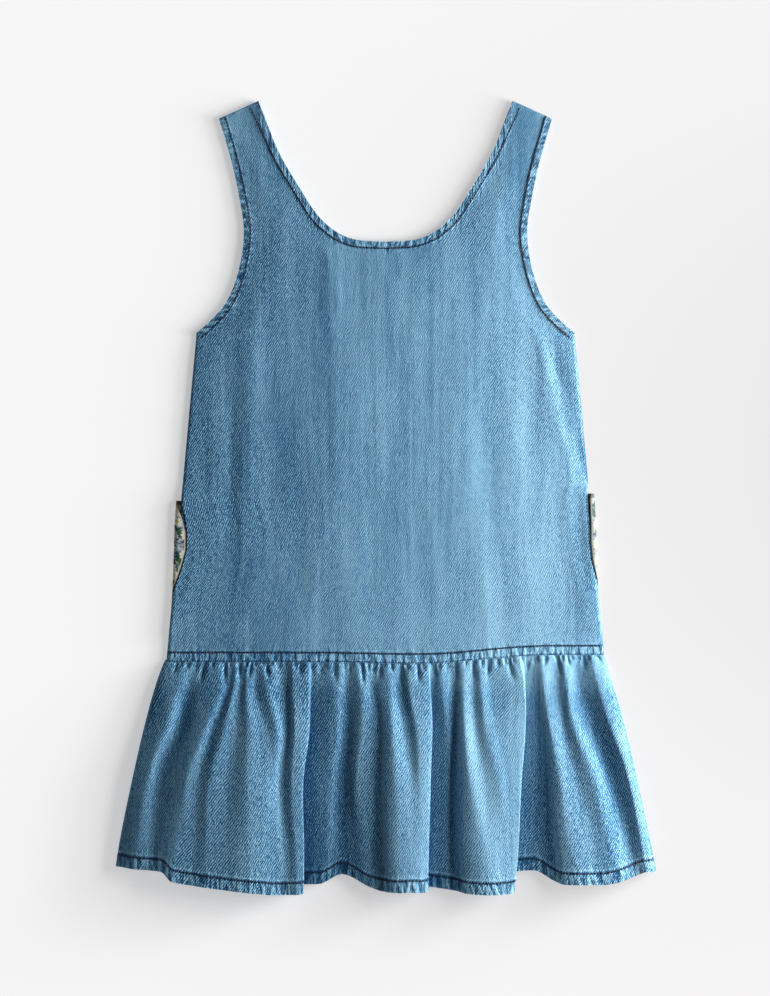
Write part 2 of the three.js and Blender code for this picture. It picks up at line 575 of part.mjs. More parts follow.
// Only the higher flank beside a rolled valley leans over
function rollBetween(from, to) {
  return from.roll * smoothstep(Math.abs(from.z - to.z), 6, 14);
}

const BACK_SKIRT_ROWS = [0, 0.04, 0.1, 0.2, 0.34, 0.52, 0.72];

function backSkirt() {
  const hem = 1 - SKIRT_HEM_WIDTH / SKIRT_LENGTH;
  const step = STEP / SKIRT_LENGTH;
  const shares = [...BACK_SKIRT_ROWS, hem - step, hem + step, 1].reverse();
  const thickness = (point, i) => (shares[i] > hem ? SKIRT_HEM : CLOTH);
  return clothWall(shares.map(backSkirtRow), thickness, { seam: shares.length - 1, sides: true });
}

// One row of the front skirt: low even folds lying on the surface
function frontSkirtRow(t) {
  const row = [];
  const high = lerp(FRONT_FOLD_SEAM_HIGH, FRONT_FOLD_HIGH, smoothstep(t, 0, GATHER_SHARE * 1.5));
  const hemY = (share) => FRONT_HEM_Y - FRONT_HEM_BOW * (1 - share * share);
  const yAt = (x, share) => lerp(skirtTopY(x), hemY(share), t);
  const reach = (side) => {
    const y = yAt(side * WAIST_X, 1);
    return skirtSideX[sideName(side)](y) - CLOTH / 2;
  };
  const rounded = (side, q) => {
    const turn = q * Math.PI / 2;
    const x = side * (reach(side) - FRONT_SIDE_REACH * (1 - Math.cos(turn)));
    const z = lerp(SKIRT_SIDE_Z - SEAM_GAP / 2, FRONT_Z, Math.sin(turn));
    row.push(new THREE.Vector3(x, yAt(x, 1), z));
  };
  for (let k = 0; k < SIDE_STEPS; k += 1) rounded(-1, k / SIDE_STEPS);
  const left = FRONT_SIDE_REACH - reach(-1);
  const right = reach(1) - FRONT_SIDE_REACH;
  const steps = FRONT_FOLD_COUNT * 3;
  for (let k = 0; k <= steps; k += 1) {
    const share = k / steps;
    const stray = FRONT_FOLD_STRAY * Math.sin(7.3 * Math.PI * share) * Math.sin(Math.PI * share);
    const x = lerp(left, right, share) + stray;
    const wave = (1 - Math.cos(2 * Math.PI * FRONT_FOLD_COUNT * share)) / 2;
    row.push(new THREE.Vector3(x, yAt(x, 2 * share - 1), FRONT_Z + high * wave));
  }
  for (let k = SIDE_STEPS - 1; k >= 0; k -= 1) rounded(1, k / SIDE_STEPS);
  return row;
}

const FRONT_SKIRT_ROWS = [0, 0.1, 0.3, 0.65, 1];

function frontSkirt() {
  const shares = [...FRONT_SKIRT_ROWS].reverse();
  const ends = { seam: shares.length - 1, sides: true, floor: 0 };
  return clothWall(shares.map(frontSkirtRow), () => CLOTH, ends);
}

function namedMesh(name, geometry, finish) {
  const mesh = new THREE.Mesh(geometry, new THREE.MeshStandardMaterial(finish));
  mesh.name = name;
  return mesh;
}

const dress = new THREE.Group();
dress.add(namedMesh('back_body', backBody(), DENIM));
dress.add(namedMesh('front_body', frontBody(), DENIM));
dress.add(namedMesh('back_skirt', backSkirt(), DENIM));
dress.add(namedMesh('front_skirt', frontSkirt(), DENIM));
dress.add(namedMesh('pocket_left', pocket(-1), PRINT));
dress.add(namedMesh('pocket_right', pocket(1), PRINT));

export default dress;
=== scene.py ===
"""Looks of a child's denim pinafore dress that lies flat on its front, with its back uppermost.

Lengths in the tables are millimetres in the CAD part's frame: +X to the right, +Y up the dress to its
straps, and +Z up from the surface it lies on. Meshes are written in metres.
"""

import logging
import math
from dataclasses import dataclass, field
from enum import Enum

import bpy
import numpy as np
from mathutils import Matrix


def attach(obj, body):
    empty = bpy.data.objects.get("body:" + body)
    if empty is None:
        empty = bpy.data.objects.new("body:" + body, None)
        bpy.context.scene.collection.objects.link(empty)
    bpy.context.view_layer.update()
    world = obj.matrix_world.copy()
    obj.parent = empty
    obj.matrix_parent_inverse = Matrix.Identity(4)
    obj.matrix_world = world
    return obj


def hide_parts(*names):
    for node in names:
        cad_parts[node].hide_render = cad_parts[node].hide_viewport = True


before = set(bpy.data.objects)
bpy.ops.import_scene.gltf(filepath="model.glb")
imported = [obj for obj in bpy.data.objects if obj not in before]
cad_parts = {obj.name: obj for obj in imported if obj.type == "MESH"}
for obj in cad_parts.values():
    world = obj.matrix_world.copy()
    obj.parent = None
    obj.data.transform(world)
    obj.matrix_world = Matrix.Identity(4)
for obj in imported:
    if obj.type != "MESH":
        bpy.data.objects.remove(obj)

MM = 0.001
SEED = 11
SHARP_ANGLE = math.radians(50)
LOG = logging.getLogger("dress")

Array = np.ndarray


class Side(Enum):
    """The dress's two sides, as they lie in the picture."""

    LEFT = -1
    RIGHT = 1


class Slot(Enum):
    """Material slots of the part's record."""

    DENIM = "denim"
    PRINT = "floral_cotton"
    THREAD = "thread"


# Small maths


def lerp(a: Array, b: Array, share: Array) -> Array:
    """Return the value at a share of the way from a to b."""
    return a + (b - a) * share


def smoothstep(x: Array, low: float, high: float) -> Array:
    """Return 0 below low, 1 above high, and a smooth climb between."""
    t = np.clip((np.asarray(x, float) - low) / (high - low), 0.0, 1.0)
    return t * t * (3.0 - 2.0 * t)


def bump_at(x: Array, place: float, width: float) -> Array:
    """Return a bell curve of height 1 round a place."""
    return np.exp(-(((np.asarray(x, float) - place) / width) ** 2))


def unit(vectors: Array) -> Array:
    """Return directions of length 1."""
    return vectors / np.maximum(np.linalg.norm(vectors, axis=-1, keepdims=True), 1e-9)


def stacked(*parts: Array) -> Array:
    """Return coordinates put together as points."""
    return np.stack(np.broadcast_arrays(*parts), axis=-1)


def hermite(u: Array, values: tuple[Array, Array], rises: tuple[Array, Array]) -> Array:
    """Smooth way from one value to another.

    Args:
        u: shares of the way.
        values: the first and last value.
        rises: the slopes there, as rises over the whole way.

    Returns:
        The value at each share.
    """
    return (
        (2 * u**3 - 3 * u**2 + 1) * values[0] + (u**3 - 2 * u**2 + u) * rises[0]
        + (3 * u**2 - 2 * u**3) * values[1] + (u**3 - u**2) * rises[1]
    )


class Curve:
    """A smooth curve through the rows of a table, straight beyond its ends."""

    def __init__(self, keys: list[float], values: list[float]) -> None:
        """Keep the table and work out its slopes.

        Args:
            keys: rising places.
            values: the value at each place.
        """
        self.keys = np.asarray(keys, float)
        self.values = np.asarray(values, float)
        last = len(keys) - 1
        ahead = [min(last, i + 1) for i in range(last + 1)]
        behind = [max(0, i - 1) for i in range(last + 1)]
        rise = self.values[ahead] - self.values[behind]
        self.slopes = rise / (self.keys[ahead] - self.keys[behind])

    def __call__(self, place: Array) -> Array:
        """Return the curve's value at each place."""
        k = np.asarray(place, float)
        i = np.clip(np.searchsorted(self.keys, k) - 1, 0, len(self.keys) - 2)
        span = self.keys[i + 1] - self.keys[i]
        inside = hermite((k - self.keys[i]) / span, (self.values[i], self.values[i + 1]),
                         (span * self.slopes[i], span * self.slopes[i + 1]))
        below = self.values[0] + self.slopes[0] * (k - self.keys[0])
        above = self.values[-1] + self.slopes[-1] * (k - self.keys[-1])
        return np.where(k <= self.keys[0], below, np.where(k >= self.keys[-1], above, inside))


class Waviness:
    """Smooth random waves over a plane, the same on every run."""

    count = 256

    def __init__(self, seed: int, across: float, along: float, height: float) -> None:
        """Draw the waves' heights.

        Args:
            seed: start of the random draw.
            across: size of a wave along the first coordinate.
            along: size of a wave along the second one.
            height: the highest that a wave can be.
        """
        self.heights = np.random.default_rng(SEED + seed).uniform(-1.0, 1.0, (self.count, self.count))
        self.across, self.along, self.height = across, along, height

    def __call__(self, u: Array, v: Array) -> Array:
        """Return the wave's height at places u, v."""
        a = np.asarray(u, float) / self.across + self.count / 2
        b = np.asarray(v, float) / self.along + self.count / 2
        i, j = np.floor(a).astype(int), np.floor(b).astype(int)
        s, t = a - i, b - j
        s, t = s * s * (3 - 2 * s), t * t * (3 - 2 * t)
        i0, i1, j0, j1 = i % self.count, (i + 1) % self.count, j % self.count, (j + 1) % self.count
        low = lerp(self.heights[i0, j0], self.heights[i1, j0], s)
        high = lerp(self.heights[i0, j1], self.heights[i1, j1], s)
        return self.height * lerp(low, high, t)


def spaced(stops: list[tuple[float, float]]) -> Array:
    """Places from the first stop to the last.

    Args:
        stops: each stop's place, and the step from it towards the next one.

    Returns:
        The places, with every stop among them.
    """
    places = [stops[0][0]]
    for (start, step), (end, _) in zip(stops, stops[1:]):
        count = max(1, round(abs(end - start) / step))
        places += list(np.linspace(start, end, count + 1)[1:])
    return np.array(places)


def smooth_through(chord: Array, counts: Array, columns: list[Array]) -> list[Array]:
    """Smooth lines through stations, which level out at each crest and dent.

    Args:
        chord: distance between neighbouring stations in each row.
        counts: how many steps to take between them.
        columns: values at the stations, each an array of rows by stations.

    Returns:
        The values along each row.
    """
    results = []
    for value in columns:
        slope = np.diff(value, axis=1) / chord
        before, after = slope[:, :-1], slope[:, 1:]
        w1, w2 = 2 * chord[:, 1:] + chord[:, :-1], chord[:, 1:] + 2 * chord[:, :-1]
        with np.errstate(divide="ignore", invalid="ignore"):
            inner = np.where(before * after > 0, (w1 + w2) / (w1 / before + w2 / after), 0.0)
        tangent = np.concatenate([slope[:, :1] * 0, inner, slope[:, -1:] * 0], axis=1)
        parts = []
        for k, count in enumerate(counts):
            u = np.linspace(0, 1, count + 1)[None, : count + (k == len(counts) - 1)]
            start, end = value[:, k, None], value[:, k + 1, None]
            rises = chord[:, k, None] * tangent[:, k, None], chord[:, k, None] * tangent[:, k + 1, None]
            parts.append(hermite(u, (start, end), rises))
        results.append(np.concatenate(parts, axis=1)[:, :-1])
    return results


# The pattern pieces' outline

# A distance that stands for nowhere near
FAR = 1e3


@dataclass(frozen=True)
class Outline:
    """The laid-out dress's edges, and how its layers lie, from the same sizes as the part."""

    strap_inner: tuple[float, float] = (114.4, 357.0)
    strap_outer: tuple[float, float] = (149.7, 341.0)
    underarm: tuple[float, float] = (170.0, 148.5)
    waist: tuple[float, float] = (197.2, -147.0)
    waist_lift: float = 6.2
    waist_sag: float = 1.4
    cloth: float = 1.0
    hem: float = 2.0
    skirt_hem: float = 1.6
    seam_gap: float = 0.3
    edge_hem_width: float = 6.8
    band_width: float = 9.0
    front_z: float = 0.5
    back_z: float = 2.45
    side_lift: float = 0.9
    puff: float = 0.5
    edge_reach: float = 26.0
    roll: float = 2.2
    roll_arc: float = 3.3
    fold_end: float = 7.4
    under_end: float = 8.0
    shoulder_roll: float = 3.0
    armhole: Curve = field(default_factory=lambda: Curve(
        [148.5, 157, 175, 203, 238, 270, 304, 341],
        [170, 159.8, 143.8, 132.6, 127.4, 131.5, 139, 149.7]))
    neckline: Curve = field(default_factory=lambda: Curve(
        [0, 28, 46, 62, 78, 95, 105, 114.4],
        [230.3, 232.6, 240.6, 255.5, 280, 309, 332, 357]))
    skirt_left: Curve = field(default_factory=lambda: Curve(
        [-333, -308, -254, -200, -164, -142], [242.5, 239, 228, 215.6, 205.4, 196.9]))
    skirt_right: Curve = field(default_factory=lambda: Curve(
        [-333, -308, -254, -200, -164, -142], [242.5, 238, 226.6, 213.8, 203.4, 196.9]))

    def half_width(self, y: Array) -> Array:
        """Return the body's outer half width at a height."""
        share = (self.underarm[1] - y) / (self.underarm[1] - self.waist[1])
        side = lerp(self.underarm[0], self.waist[0], share)
        return np.where(y > self.underarm[1], self.armhole(y), side)

    def waist_y(self, x: Array) -> Array:
        """Return the waist seam's height."""
        lift = self.waist_lift * smoothstep(x, 40, 150)
        return self.waist[1] + lift - self.waist_sag * bump_at(x, 22, 45)

    @property
    def strap_slope(self) -> float:
        """Slope of the fold at a strap's end."""
        rise = self.strap_outer[1] - self.strap_inner[1]
        return rise / (self.strap_outer[0] - self.strap_inner[0])

    def strap_end_y(self, x: Array) -> Array:
        """Return the height of the fold at a strap's end."""
        return self.strap_inner[1] + self.strap_slope * (x - self.strap_inner[0])

    def top_edge_y(self, x: Array) -> Array:
        """Return the height of the neckline, or of the strap's end beyond it."""
        return np.where(x < self.strap_inner[0], self.neckline(x), self.strap_end_y(x))

    def neck_slope(self, x: Array) -> Array:
        """Return the neckline's slope."""
        return self.neckline(x + 0.5) - self.neckline(x - 0.5)

    def neck_distance(self, x: Array, y: Array) -> Array:
        """Return the distance from a point of the back to its neckline."""
        ax = np.minimum(np.abs(x), self.strap_inner[0])
        return np.maximum(0, self.neckline(ax) - y) / np.hypot(1, self.neck_slope(ax))

    def hem_distance(self, x: Array, y: Array) -> Array:
        """Return the distance to the neckline, or FAR beyond its ends."""
        return np.where(np.abs(x) <= self.strap_inner[0], self.neck_distance(x, y), FAR)

    def armhole_distance(self, x: Array, y: Array) -> Array:
        """Return the distance from a point of the back to its armhole."""
        below = np.hypot(self.underarm[0] - np.abs(x), self.underarm[1] - y)
        slope = self.armhole(y + 0.5) - self.armhole(y - 0.5)
        inside = np.maximum(0, self.half_width(y) - np.abs(x)) / np.hypot(1, slope)
        return np.where(y < self.underarm[1], below, inside)

    def strap_end_distance(self, x: Array, y: Array) -> Array:
        """Return the distance from a point to the fold at its strap's end."""
        return np.maximum(0, self.strap_end_y(np.abs(x)) - y) / math.hypot(1, self.strap_slope)

    @property
    def body_rise(self) -> float:
        """Height of the body's side, from the waist seam to the underarm."""
        return self.underarm[1] - self.waist[1]

    def rise_to_y(self, x: Array, rise: Array) -> Array:
        """Return the height of a length up from the waist seam."""
        return lerp(self.waist_y(x), self.underarm[1], rise / self.body_rise)

    def skirt_top_y(self, x: Array) -> Array:
        """Return the height at which the skirt starts."""
        limit = self.waist[0]
        return self.waist_y(np.clip(x, -limit, limit)) - self.seam_gap

    def skirt_side(self, side: Side, y: Array) -> Array:
        """Return the skirt's half width on a side."""
        return self.skirt_left(y) if side is Side.LEFT else self.skirt_right(y)

    def freedom(self, y: Array) -> Array:
        """Return 1 above the underarm, where the edges are free, and 0 below it."""
        return smoothstep(y, self.underarm[1] - 4, self.underarm[1])


@dataclass(frozen=True)
class PocketCut:
    """Sizes of the patch pockets. A rise is a length up the side from the waist seam."""

    top_rise: float = 149.0
    left_drop: float = 4.5
    right_drop: float = 1.0
    bottom_rise: float = 30.0
    corner_rise: float = 40.0
    corner_from: float = 0.45
    inner_share: float = 0.47
    lift: float = 1.4
    side_lift: float = 1.5
    side_reach: float = 22.0
    margin: float = 9.0
    gape: float = 4.4
    gape_depth: float = 100.0
    gape_reach: float = 7.0


# Creases of the back panel: the two ends, height and width. The long soft ridges come first, then finer
# ridges on them, and dents where the height is below 0
CREASES = [
    (134, 150, 167, 0, 0.7, 9),
    (162, 30, 184, -120, 1.2, 9),
    (-50, 228, -36, 150, 0.5, 7),
    (-120, 190, -132, -60, 1.1, 16),
    (-40, 150, -52, -90, 0.8, 18),
    (62, 170, 70, -80, 0.9, 20),
    (131, 168, 152, 88, 0.65, 4.5),
    (148, 96, 173, 2, 0.45, 4.0),
    (176, 16, 190, -96, 0.8, 4.5),
    (143, 156, 166, 75, -0.9, 6),
    (166, 75, 186, 4, -0.9, 6),
    (170, 10, 178, -84, -0.8, 6.0),
    (-136, 150, -138, -94, -0.7, 7),
    (-54, 231, -45, 180, 0.26, 3.2),
    (-43, 228, -34, 186, 0.24, 3.0),
    (-33, 226, -29, 196, 0.2, 3.0),
    (-98, 268, -86, 190, 0.35, 5),
    (104, 300, 96, 214, 0.4, 5),
    (-150, 60, -160, -60, 0.4, 6),
    (-20, 60, -26, -120, 0.35, 9),
    (112, 120, 118, -30, 0.4, 8),
    (30, 200, 24, 90, 0.3, 9),
    (84, 10, 92, -130, 0.35, 8),
]

# A side seam's place round the fold, as a length of cloth rolled onto the top
SEAM_SHIFT_RISE = {
    Side.LEFT: [57.5, 63.5, 69.5, 83.5, 99.5, 115.5, 129.5, 138.5, 146.5, 155.5],
    Side.RIGHT: [61, 67, 73, 87, 103, 119, 133, 142, 150, 159],
}
SEAM_SHIFT = {
    Side.LEFT: [0, 1.4, 3.4, 7.1, 9.9, 9, 5.8, 3, 0, 0],
    Side.RIGHT: [0, 1.2, 2.4, 4.6, 5.2, 4.6, 4.4, 4.2, 3, 0],
}


def crease_height(x: Array, y: Array) -> Array:
    """Return the creases' height at each place."""
    total = np.zeros(np.broadcast(x, y).shape)
    for x0, y0, x1, y1, height, width in CREASES:
        dx, dy = x1 - x0, y1 - y0
        length = math.hypot(dx, dy)
        along = ((x - x0) * dx + (y - y0) * dy) / length**2
        across = ((x - x0) * dy - (y - y0) * dx) / length
        fade = np.sin(math.pi * np.clip(along, 0, 1))
        total = total + height * fade * np.exp(-((across / width) ** 2))
    return total


class Layers:
    """How the panels lie on each other: heights, the rounded side folds, and what shows on them."""

    def __init__(self, outline: Outline, pocket: PocketCut) -> None:
        """Keep the sizes.

        Args:
            outline: the dress's edges.
            pocket: the patch pockets' sizes.
        """
        self.cut = outline
        self.pocket = pocket
        self.soft = Waviness(1, 13, 60, 0.24)
        self.small = Waviness(2, 6, 17, 0.09)
        self.edge = Waviness(3, 5.5, 4.0, 0.22)

    def seam_shift(self, side: Side, rise: Array) -> Array:
        """Return how far the side seam lies rolled onto the top."""
        return np.interp(rise, SEAM_SHIFT_RISE[side], SEAM_SHIFT[side])

    def pocket_cover(self, x: Array, y: Array) -> Array:
        """Return 1 where the front lies over a pocket, and 0 away from it."""
        base = self.cut.waist_y(x)
        rise = self.cut.body_rise * (y - base) / (self.cut.underarm[1] - base)
        outside = np.maximum(self.pocket.bottom_rise - 3 - rise, rise - self.pocket.top_rise - 2)
        share = np.abs(x) / self.cut.half_width(y)
        across = smoothstep(share, self.pocket.inner_share - 0.06, self.pocket.inner_share - 0.01)
        return (1 - smoothstep(outside, 0, self.pocket.margin)) * across

    def back_height(self, x: Array, y: Array) -> Array:
        """Return the height of the middle of the back panel's cloth."""
        cut = self.cut
        free = np.minimum(cut.neck_distance(x, y), cut.armhole_distance(x, y))
        side = np.maximum(0, cut.half_width(y) - np.abs(x))
        opened = smoothstep(free, 0, cut.edge_reach)
        lift = self.pocket.side_lift * self.pocket_cover(x, y) * np.exp(-side / self.pocket.side_reach)
        middle = 1 - np.exp(-side / cut.edge_reach)
        relief = crease_height(x, y) + self.soft(x, y) * middle + self.small(x, y)
        return cut.back_z + lift + opened * (cut.side_lift + cut.puff * middle + relief)

    def stack_point(self, side: Side, e: Array, y: Array) -> Array:
        """A place round the side fold.

        Args:
            side: which side.
            e: length of cloth from the fold, onto the back above 0 and under the front below it.
            y: height up the dress.

        Returns:
            Points of the outermost layer's middle.
        """
        cut = self.cut
        turn = np.clip(np.abs(e) / cut.roll_arc, 0, 1) * math.pi / 2
        inset = cut.cloth / 2 + cut.roll * (1 - np.cos(turn)) + np.maximum(0, np.abs(e) - cut.roll_arc)
        x = side.value * (cut.half_width(y) - inset)
        top = self.back_height(x, y)
        z = (top + cut.front_z) / 2 + np.sign(e) * (top - cut.front_z) / 2 * np.sin(turn)
        return stacked(x, y, z)

    def stack_normal(self, side: Side, e: Array, y: Array) -> Array:
        """Return the outward direction of the layer round the side fold."""
        near = 0.05
        step = unit(self.stack_point(side, e + near, y) - self.stack_point(side, e - near, y))
        return side.value * stacked(step[..., 2], 0.0, -step[..., 0])

    def settle_straps(self, points: Array, strap_z: float) -> Array:
        """Curl the strap ends towards each other at the shoulder fold.

        Args:
            points: a grid of places.
            strap_z: height at which the fold lies.

        Returns:
            The grid, with its strap ends curled.
        """
        cut = self.cut
        x, y = points[..., 0], points[..., 1]
        strap = (np.abs(x) > cut.strap_inner[0] - 6) & (y > cut.strap_outer[1] - 12)
        near = 1 - np.clip(cut.strap_end_distance(x, y) / cut.shoulder_roll, 0, 1)
        curled = lerp(points[..., 2], strap_z, 1 - np.sqrt(1 - near**2))
        points[..., 2] = np.where(strap, curled, points[..., 2])
        return points


# Meshes


@dataclass
class ClothGrid:
    """A sheet of cloth as a grid: its middle, thickness, place in the cut and place along its hem."""

    points: Array
    thickness: Array
    cut: Array
    band: Array

    def area(self) -> float:
        """Return the sheet's area in square metres."""
        p = self.points * MM
        one = np.cross(p[:-1, 1:] - p[:-1, :-1], p[1:, :-1] - p[:-1, :-1])
        two = np.cross(p[1:, :-1] - p[1:, 1:], p[:-1, 1:] - p[1:, 1:])
        return float((np.linalg.norm(one, axis=-1) + np.linalg.norm(two, axis=-1)).sum() / 2)

    def normals(self) -> Array:
        """Return the direction each point faces, up for a sheet that lies flat."""
        return unit(np.cross(np.gradient(self.points, axis=1), np.gradient(self.points, axis=0)))


def coordinates(mesh: bpy.types.Mesh) -> Array:
    """Return a mesh's points."""
    flat = np.empty(len(mesh.vertices) * 3)
    mesh.vertices.foreach_get("co", flat)
    return flat.reshape(-1, 3)


def cloth_piece(name: str, grid: ClothGrid, layers: tuple[float, float], material: bpy.types.Material,
                slot: Slot) -> bpy.types.Object:
    """Make a closed shell of cloth from a grid, with no point under the surface that the dress lies on.

    Args:
        name: the piece's name.
        grid: the sheet.
        layers: thickness of one layer and of the piece's hem, in millimetres.
        material: its finish.
        slot: handed on to finish_piece.

    Returns:
        The finished mesh object.
    """
    thinnest, thickest = layers
    rows, columns = grid.points.shape[:2]
    bpy.ops.object.select_all(action="DESELECT")
    bpy.ops.mesh.primitive_grid_add(x_subdivisions=columns - 1, y_subdivisions=rows - 1, size=1.0)
    obj = bpy.context.object
    mesh = obj.data
    obj.name = mesh.name = name
    flat = coordinates(mesh)
    j = np.rint((flat[:, 0] + 0.5) * (columns - 1)).astype(int)
    i = np.rint((flat[:, 1] + 0.5) * (rows - 1)).astype(int)
    mesh.vertices.foreach_set("co", (grid.points[i, j] * MM).ravel())
    corners = np.empty(len(mesh.loops), dtype=int)
    mesh.loops.foreach_get("vertex_index", corners)
    while mesh.uv_layers:
        mesh.uv_layers.remove(mesh.uv_layers[0])
    for layer_name, values in (("cut", grid.cut * MM), ("band", grid.band)):
        layer = mesh.uv_layers.new(name=layer_name)
        layer.data.foreach_set("uv", values[i, j][corners].ravel())
    group = obj.vertex_groups.new(name="hem")
    share = (grid.thickness[i, j] - thinnest) / max(thickest - thinnest, 1e-6)
    for level in np.unique(np.round(share, 1)):
        chosen = np.nonzero(np.round(share, 1) == level)[0]
        group.add([int(k) for k in chosen], float(np.clip(level, 0, 1)), "REPLACE")
    wall = obj.modifiers.new("Wall", "SOLIDIFY")
    wall.thickness = thickest * MM
    wall.offset = 0.0
    wall.vertex_group = "hem"
    wall.thickness_vertex_group = thinnest / thickest
    bpy.ops.object.modifier_apply(modifier=wall.name)
    settled = coordinates(mesh)
    settled[:, 2] = np.maximum(settled[:, 2], 0.0)
    mesh.vertices.foreach_set("co", settled.ravel())
    mesh.update()
    bpy.ops.object.shade_smooth_by_angle(angle=SHARP_ANGLE)
    obj.vertex_groups.clear()
    finish_piece(obj, material, slot)
    return obj


def in_scene(name: str, data: bpy.types.ID) -> bpy.types.Object:
    """Return a new object of the scene with this data."""
    obj = bpy.data.objects.new(name, data)
    bpy.context.scene.collection.objects.link(obj)
    return obj


def arc_lengths(points: Array, axis: int) -> Array:
    """Return the length of cloth from the first point, along an axis of a grid."""
    step = np.linalg.norm(np.diff(points, axis=axis), axis=-1)
    start = np.zeros_like(np.take(step, [0], axis=axis))
    return np.concatenate([start, np.cumsum(step, axis=axis)], axis=axis)


def finish_piece(obj: bpy.types.Object, material: bpy.types.Material, slot: Slot) -> None:
    """Dress a piece, put it on the part's one body, and report it.

    Args:
        obj: the piece.
        material: its finish.
        slot: not used.
    """
    obj.data.materials.clear()
    obj.data.materials.append(material)
    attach(obj, "root")
    LOG.info("%s: %d faces", obj.name, len(obj.data.polygons))


# Finishes


def linear(red: int, green: int, blue: int) -> tuple[float, float, float, float]:
    """Return a screen colour, 0 to 255, as a linear one."""
    def channel(value: int) -> float:
        share = value / 255
        return share / 12.92 if share <= 0.04045 else ((share + 0.055) / 1.055) ** 2.4
    return (channel(red), channel(green), channel(blue), 1.0)


Socket = bpy.types.NodeSocket
Value = Socket | float


class NodeBench:
    """A material's nodes, put together one by one."""

    def __init__(self, name: str) -> None:
        """Start a material with its shader and output."""
        self.material = bpy.data.materials.new(name)
        self.material.use_nodes = True
        self.tree = self.material.node_tree
        self.shader = next(n for n in self.tree.nodes if n.type == "BSDF_PRINCIPLED")

    def give(self, socket: Socket, value: Value | tuple[float, ...]) -> None:
        """Link or set an input."""
        if isinstance(value, bpy.types.NodeSocket):
            self.tree.links.new(value, socket)
        else:
            socket.default_value = value

    def node(self, kind: str, **inputs: Value) -> bpy.types.Node:
        """Add a node.

        Args:
            kind: the node's type.
            inputs: its inputs by name, with _ for a space.

        Returns:
            The node.
        """
        made = self.tree.nodes.new(kind)
        for name, value in inputs.items():
            self.give(made.inputs[name.replace("_", " ")], value)
        return made

    def uv(self, layer: str) -> Socket:
        """Return a UV map's coordinates."""
        made = self.tree.nodes.new("ShaderNodeUVMap")
        made.uv_map = layer
        return made.outputs["UV"]

    def split(self, vector: Socket) -> list[Socket]:
        """Return a vector's three parts."""
        return list(self.node("ShaderNodeSeparateXYZ", Vector=vector).outputs)

    def place(self) -> Socket:
        """Return the place on the object, in metres."""
        return self.node("ShaderNodeTexCoord").outputs["Object"]

    def finish(self, **inputs: Value | tuple[float, ...]) -> bpy.types.Material:
        """Return the material with its shader's inputs set, by name with _ for a space."""
        for name, value in inputs.items():
            self.give(self.shader.inputs[name.replace("_", " ")], value)
        return self.material

    def mapped(self, vector: Socket, scale: tuple[float, float], turn: float = 0.0) -> Socket:
        """Return coordinates turned by degrees and then scaled."""
        turned = vector
        if turn:
            rotate = self.node("ShaderNodeVectorRotate", Vector=vector, Angle=math.radians(turn))
            rotate.rotation_type = "Z_AXIS"
            turned = rotate.outputs["Vector"]
        return self.vector_math("MULTIPLY", turned, (*scale, 1.0)).outputs["Vector"]

    def vector_math(self, operation: str, a: Socket, b: Socket | tuple[float, ...]) -> bpy.types.Node:
        """Return a node that works on two vectors."""
        made = self.node("ShaderNodeVectorMath")
        made.operation = operation
        self.give(made.inputs[0], a)
        self.give(made.inputs[1], b)
        return made

    def noise(self, vector: Socket, scale: tuple[float, float], detail: float = 2.0,
              rough: float = 0.5) -> Socket:
        """Return noise of about scale waves for each unit of the coordinates."""
        made = self.node("ShaderNodeTexNoise", Vector=self.mapped(vector, scale), Scale=1.0,
                         Detail=detail, Roughness=rough)
        made.noise_dimensions = "2D"
        return made.outputs[0]

    def math(self, operation: str, a: Value, b: Value = 0.0, c: Value = 0.0) -> Socket:
        """Return the result of a sum on one to three values."""
        made = self.tree.nodes.new("ShaderNodeMath")
        made.operation = operation
        for socket, value in zip(made.inputs, (a, b, c)):
            self.give(socket, value)
        return made.outputs[0]

    def times(self, *values: Value) -> Socket:
        """Return the product of several values."""
        result = values[0]
        for value in values[1:]:
            result = self.math("MULTIPLY", result, value)
        return result

    def apart(self, value: Socket, place: float) -> Socket:
        """Return how far a value is from a place."""
        return self.math("ABSOLUTE", self.math("SUBTRACT", value, place))

    def ramp(self, value: Value, low: float, high: float, start: float = 0.0, end: float = 1.0) -> Socket:
        """Return a value moved smoothly from the range low to high into start to end."""
        made = self.tree.nodes.new("ShaderNodeMapRange")
        made.interpolation_type = "SMOOTHSTEP"
        for name, number in (("Value", value), ("From Min", low), ("From Max", high),
                             ("To Min", start), ("To Max", end)):
            self.give(made.inputs[name], number)
        return made.outputs["Result"]

    def centred(self, value: Socket, amount: float) -> Socket:
        """Return noise round 0, times an amount."""
        return self.times(self.math("SUBTRACT", value, 0.5), amount)

    def total(self, *values: Value) -> Socket:
        """Return the sum of several values."""
        result = values[0]
        for value in values[1:]:
            result = self.math("ADD", result, value)
        return result

    def mix(self, share: Value, a: Value | tuple, b: Value | tuple) -> Socket:
        """Return a colour between two."""
        made = self.tree.nodes.new("ShaderNodeMix")
        made.data_type = "RGBA"
        self.give(made.inputs["Factor"], share)
        self.give(made.inputs[6], a)
        self.give(made.inputs[7], b)
        return made.outputs[2]

    def colours(self, value: Socket, stops: list[tuple[float, tuple[int, int, int]]]) -> Socket:
        """Return the colour that a value has on a ramp of screen colours."""
        made = self.tree.nodes.new("ShaderNodeValToRGB")
        elements = made.color_ramp.elements
        while len(elements) < len(stops):
            elements.new(0.5)
        for element, (place, colour) in zip(elements, stops):
            element.position = place
            element.color = linear(*colour)
        self.give(made.inputs[0], value)
        return made.outputs["Color"]

    def bump(self, height: Socket, distance: float, strength: float, **normal: Socket) -> Socket:
        """Return a normal, the surface's own or the given one, bent by a height."""
        return self.node("ShaderNodeBump", Strength=strength, Distance=distance, Height=height,
                         **normal).outputs["Normal"]


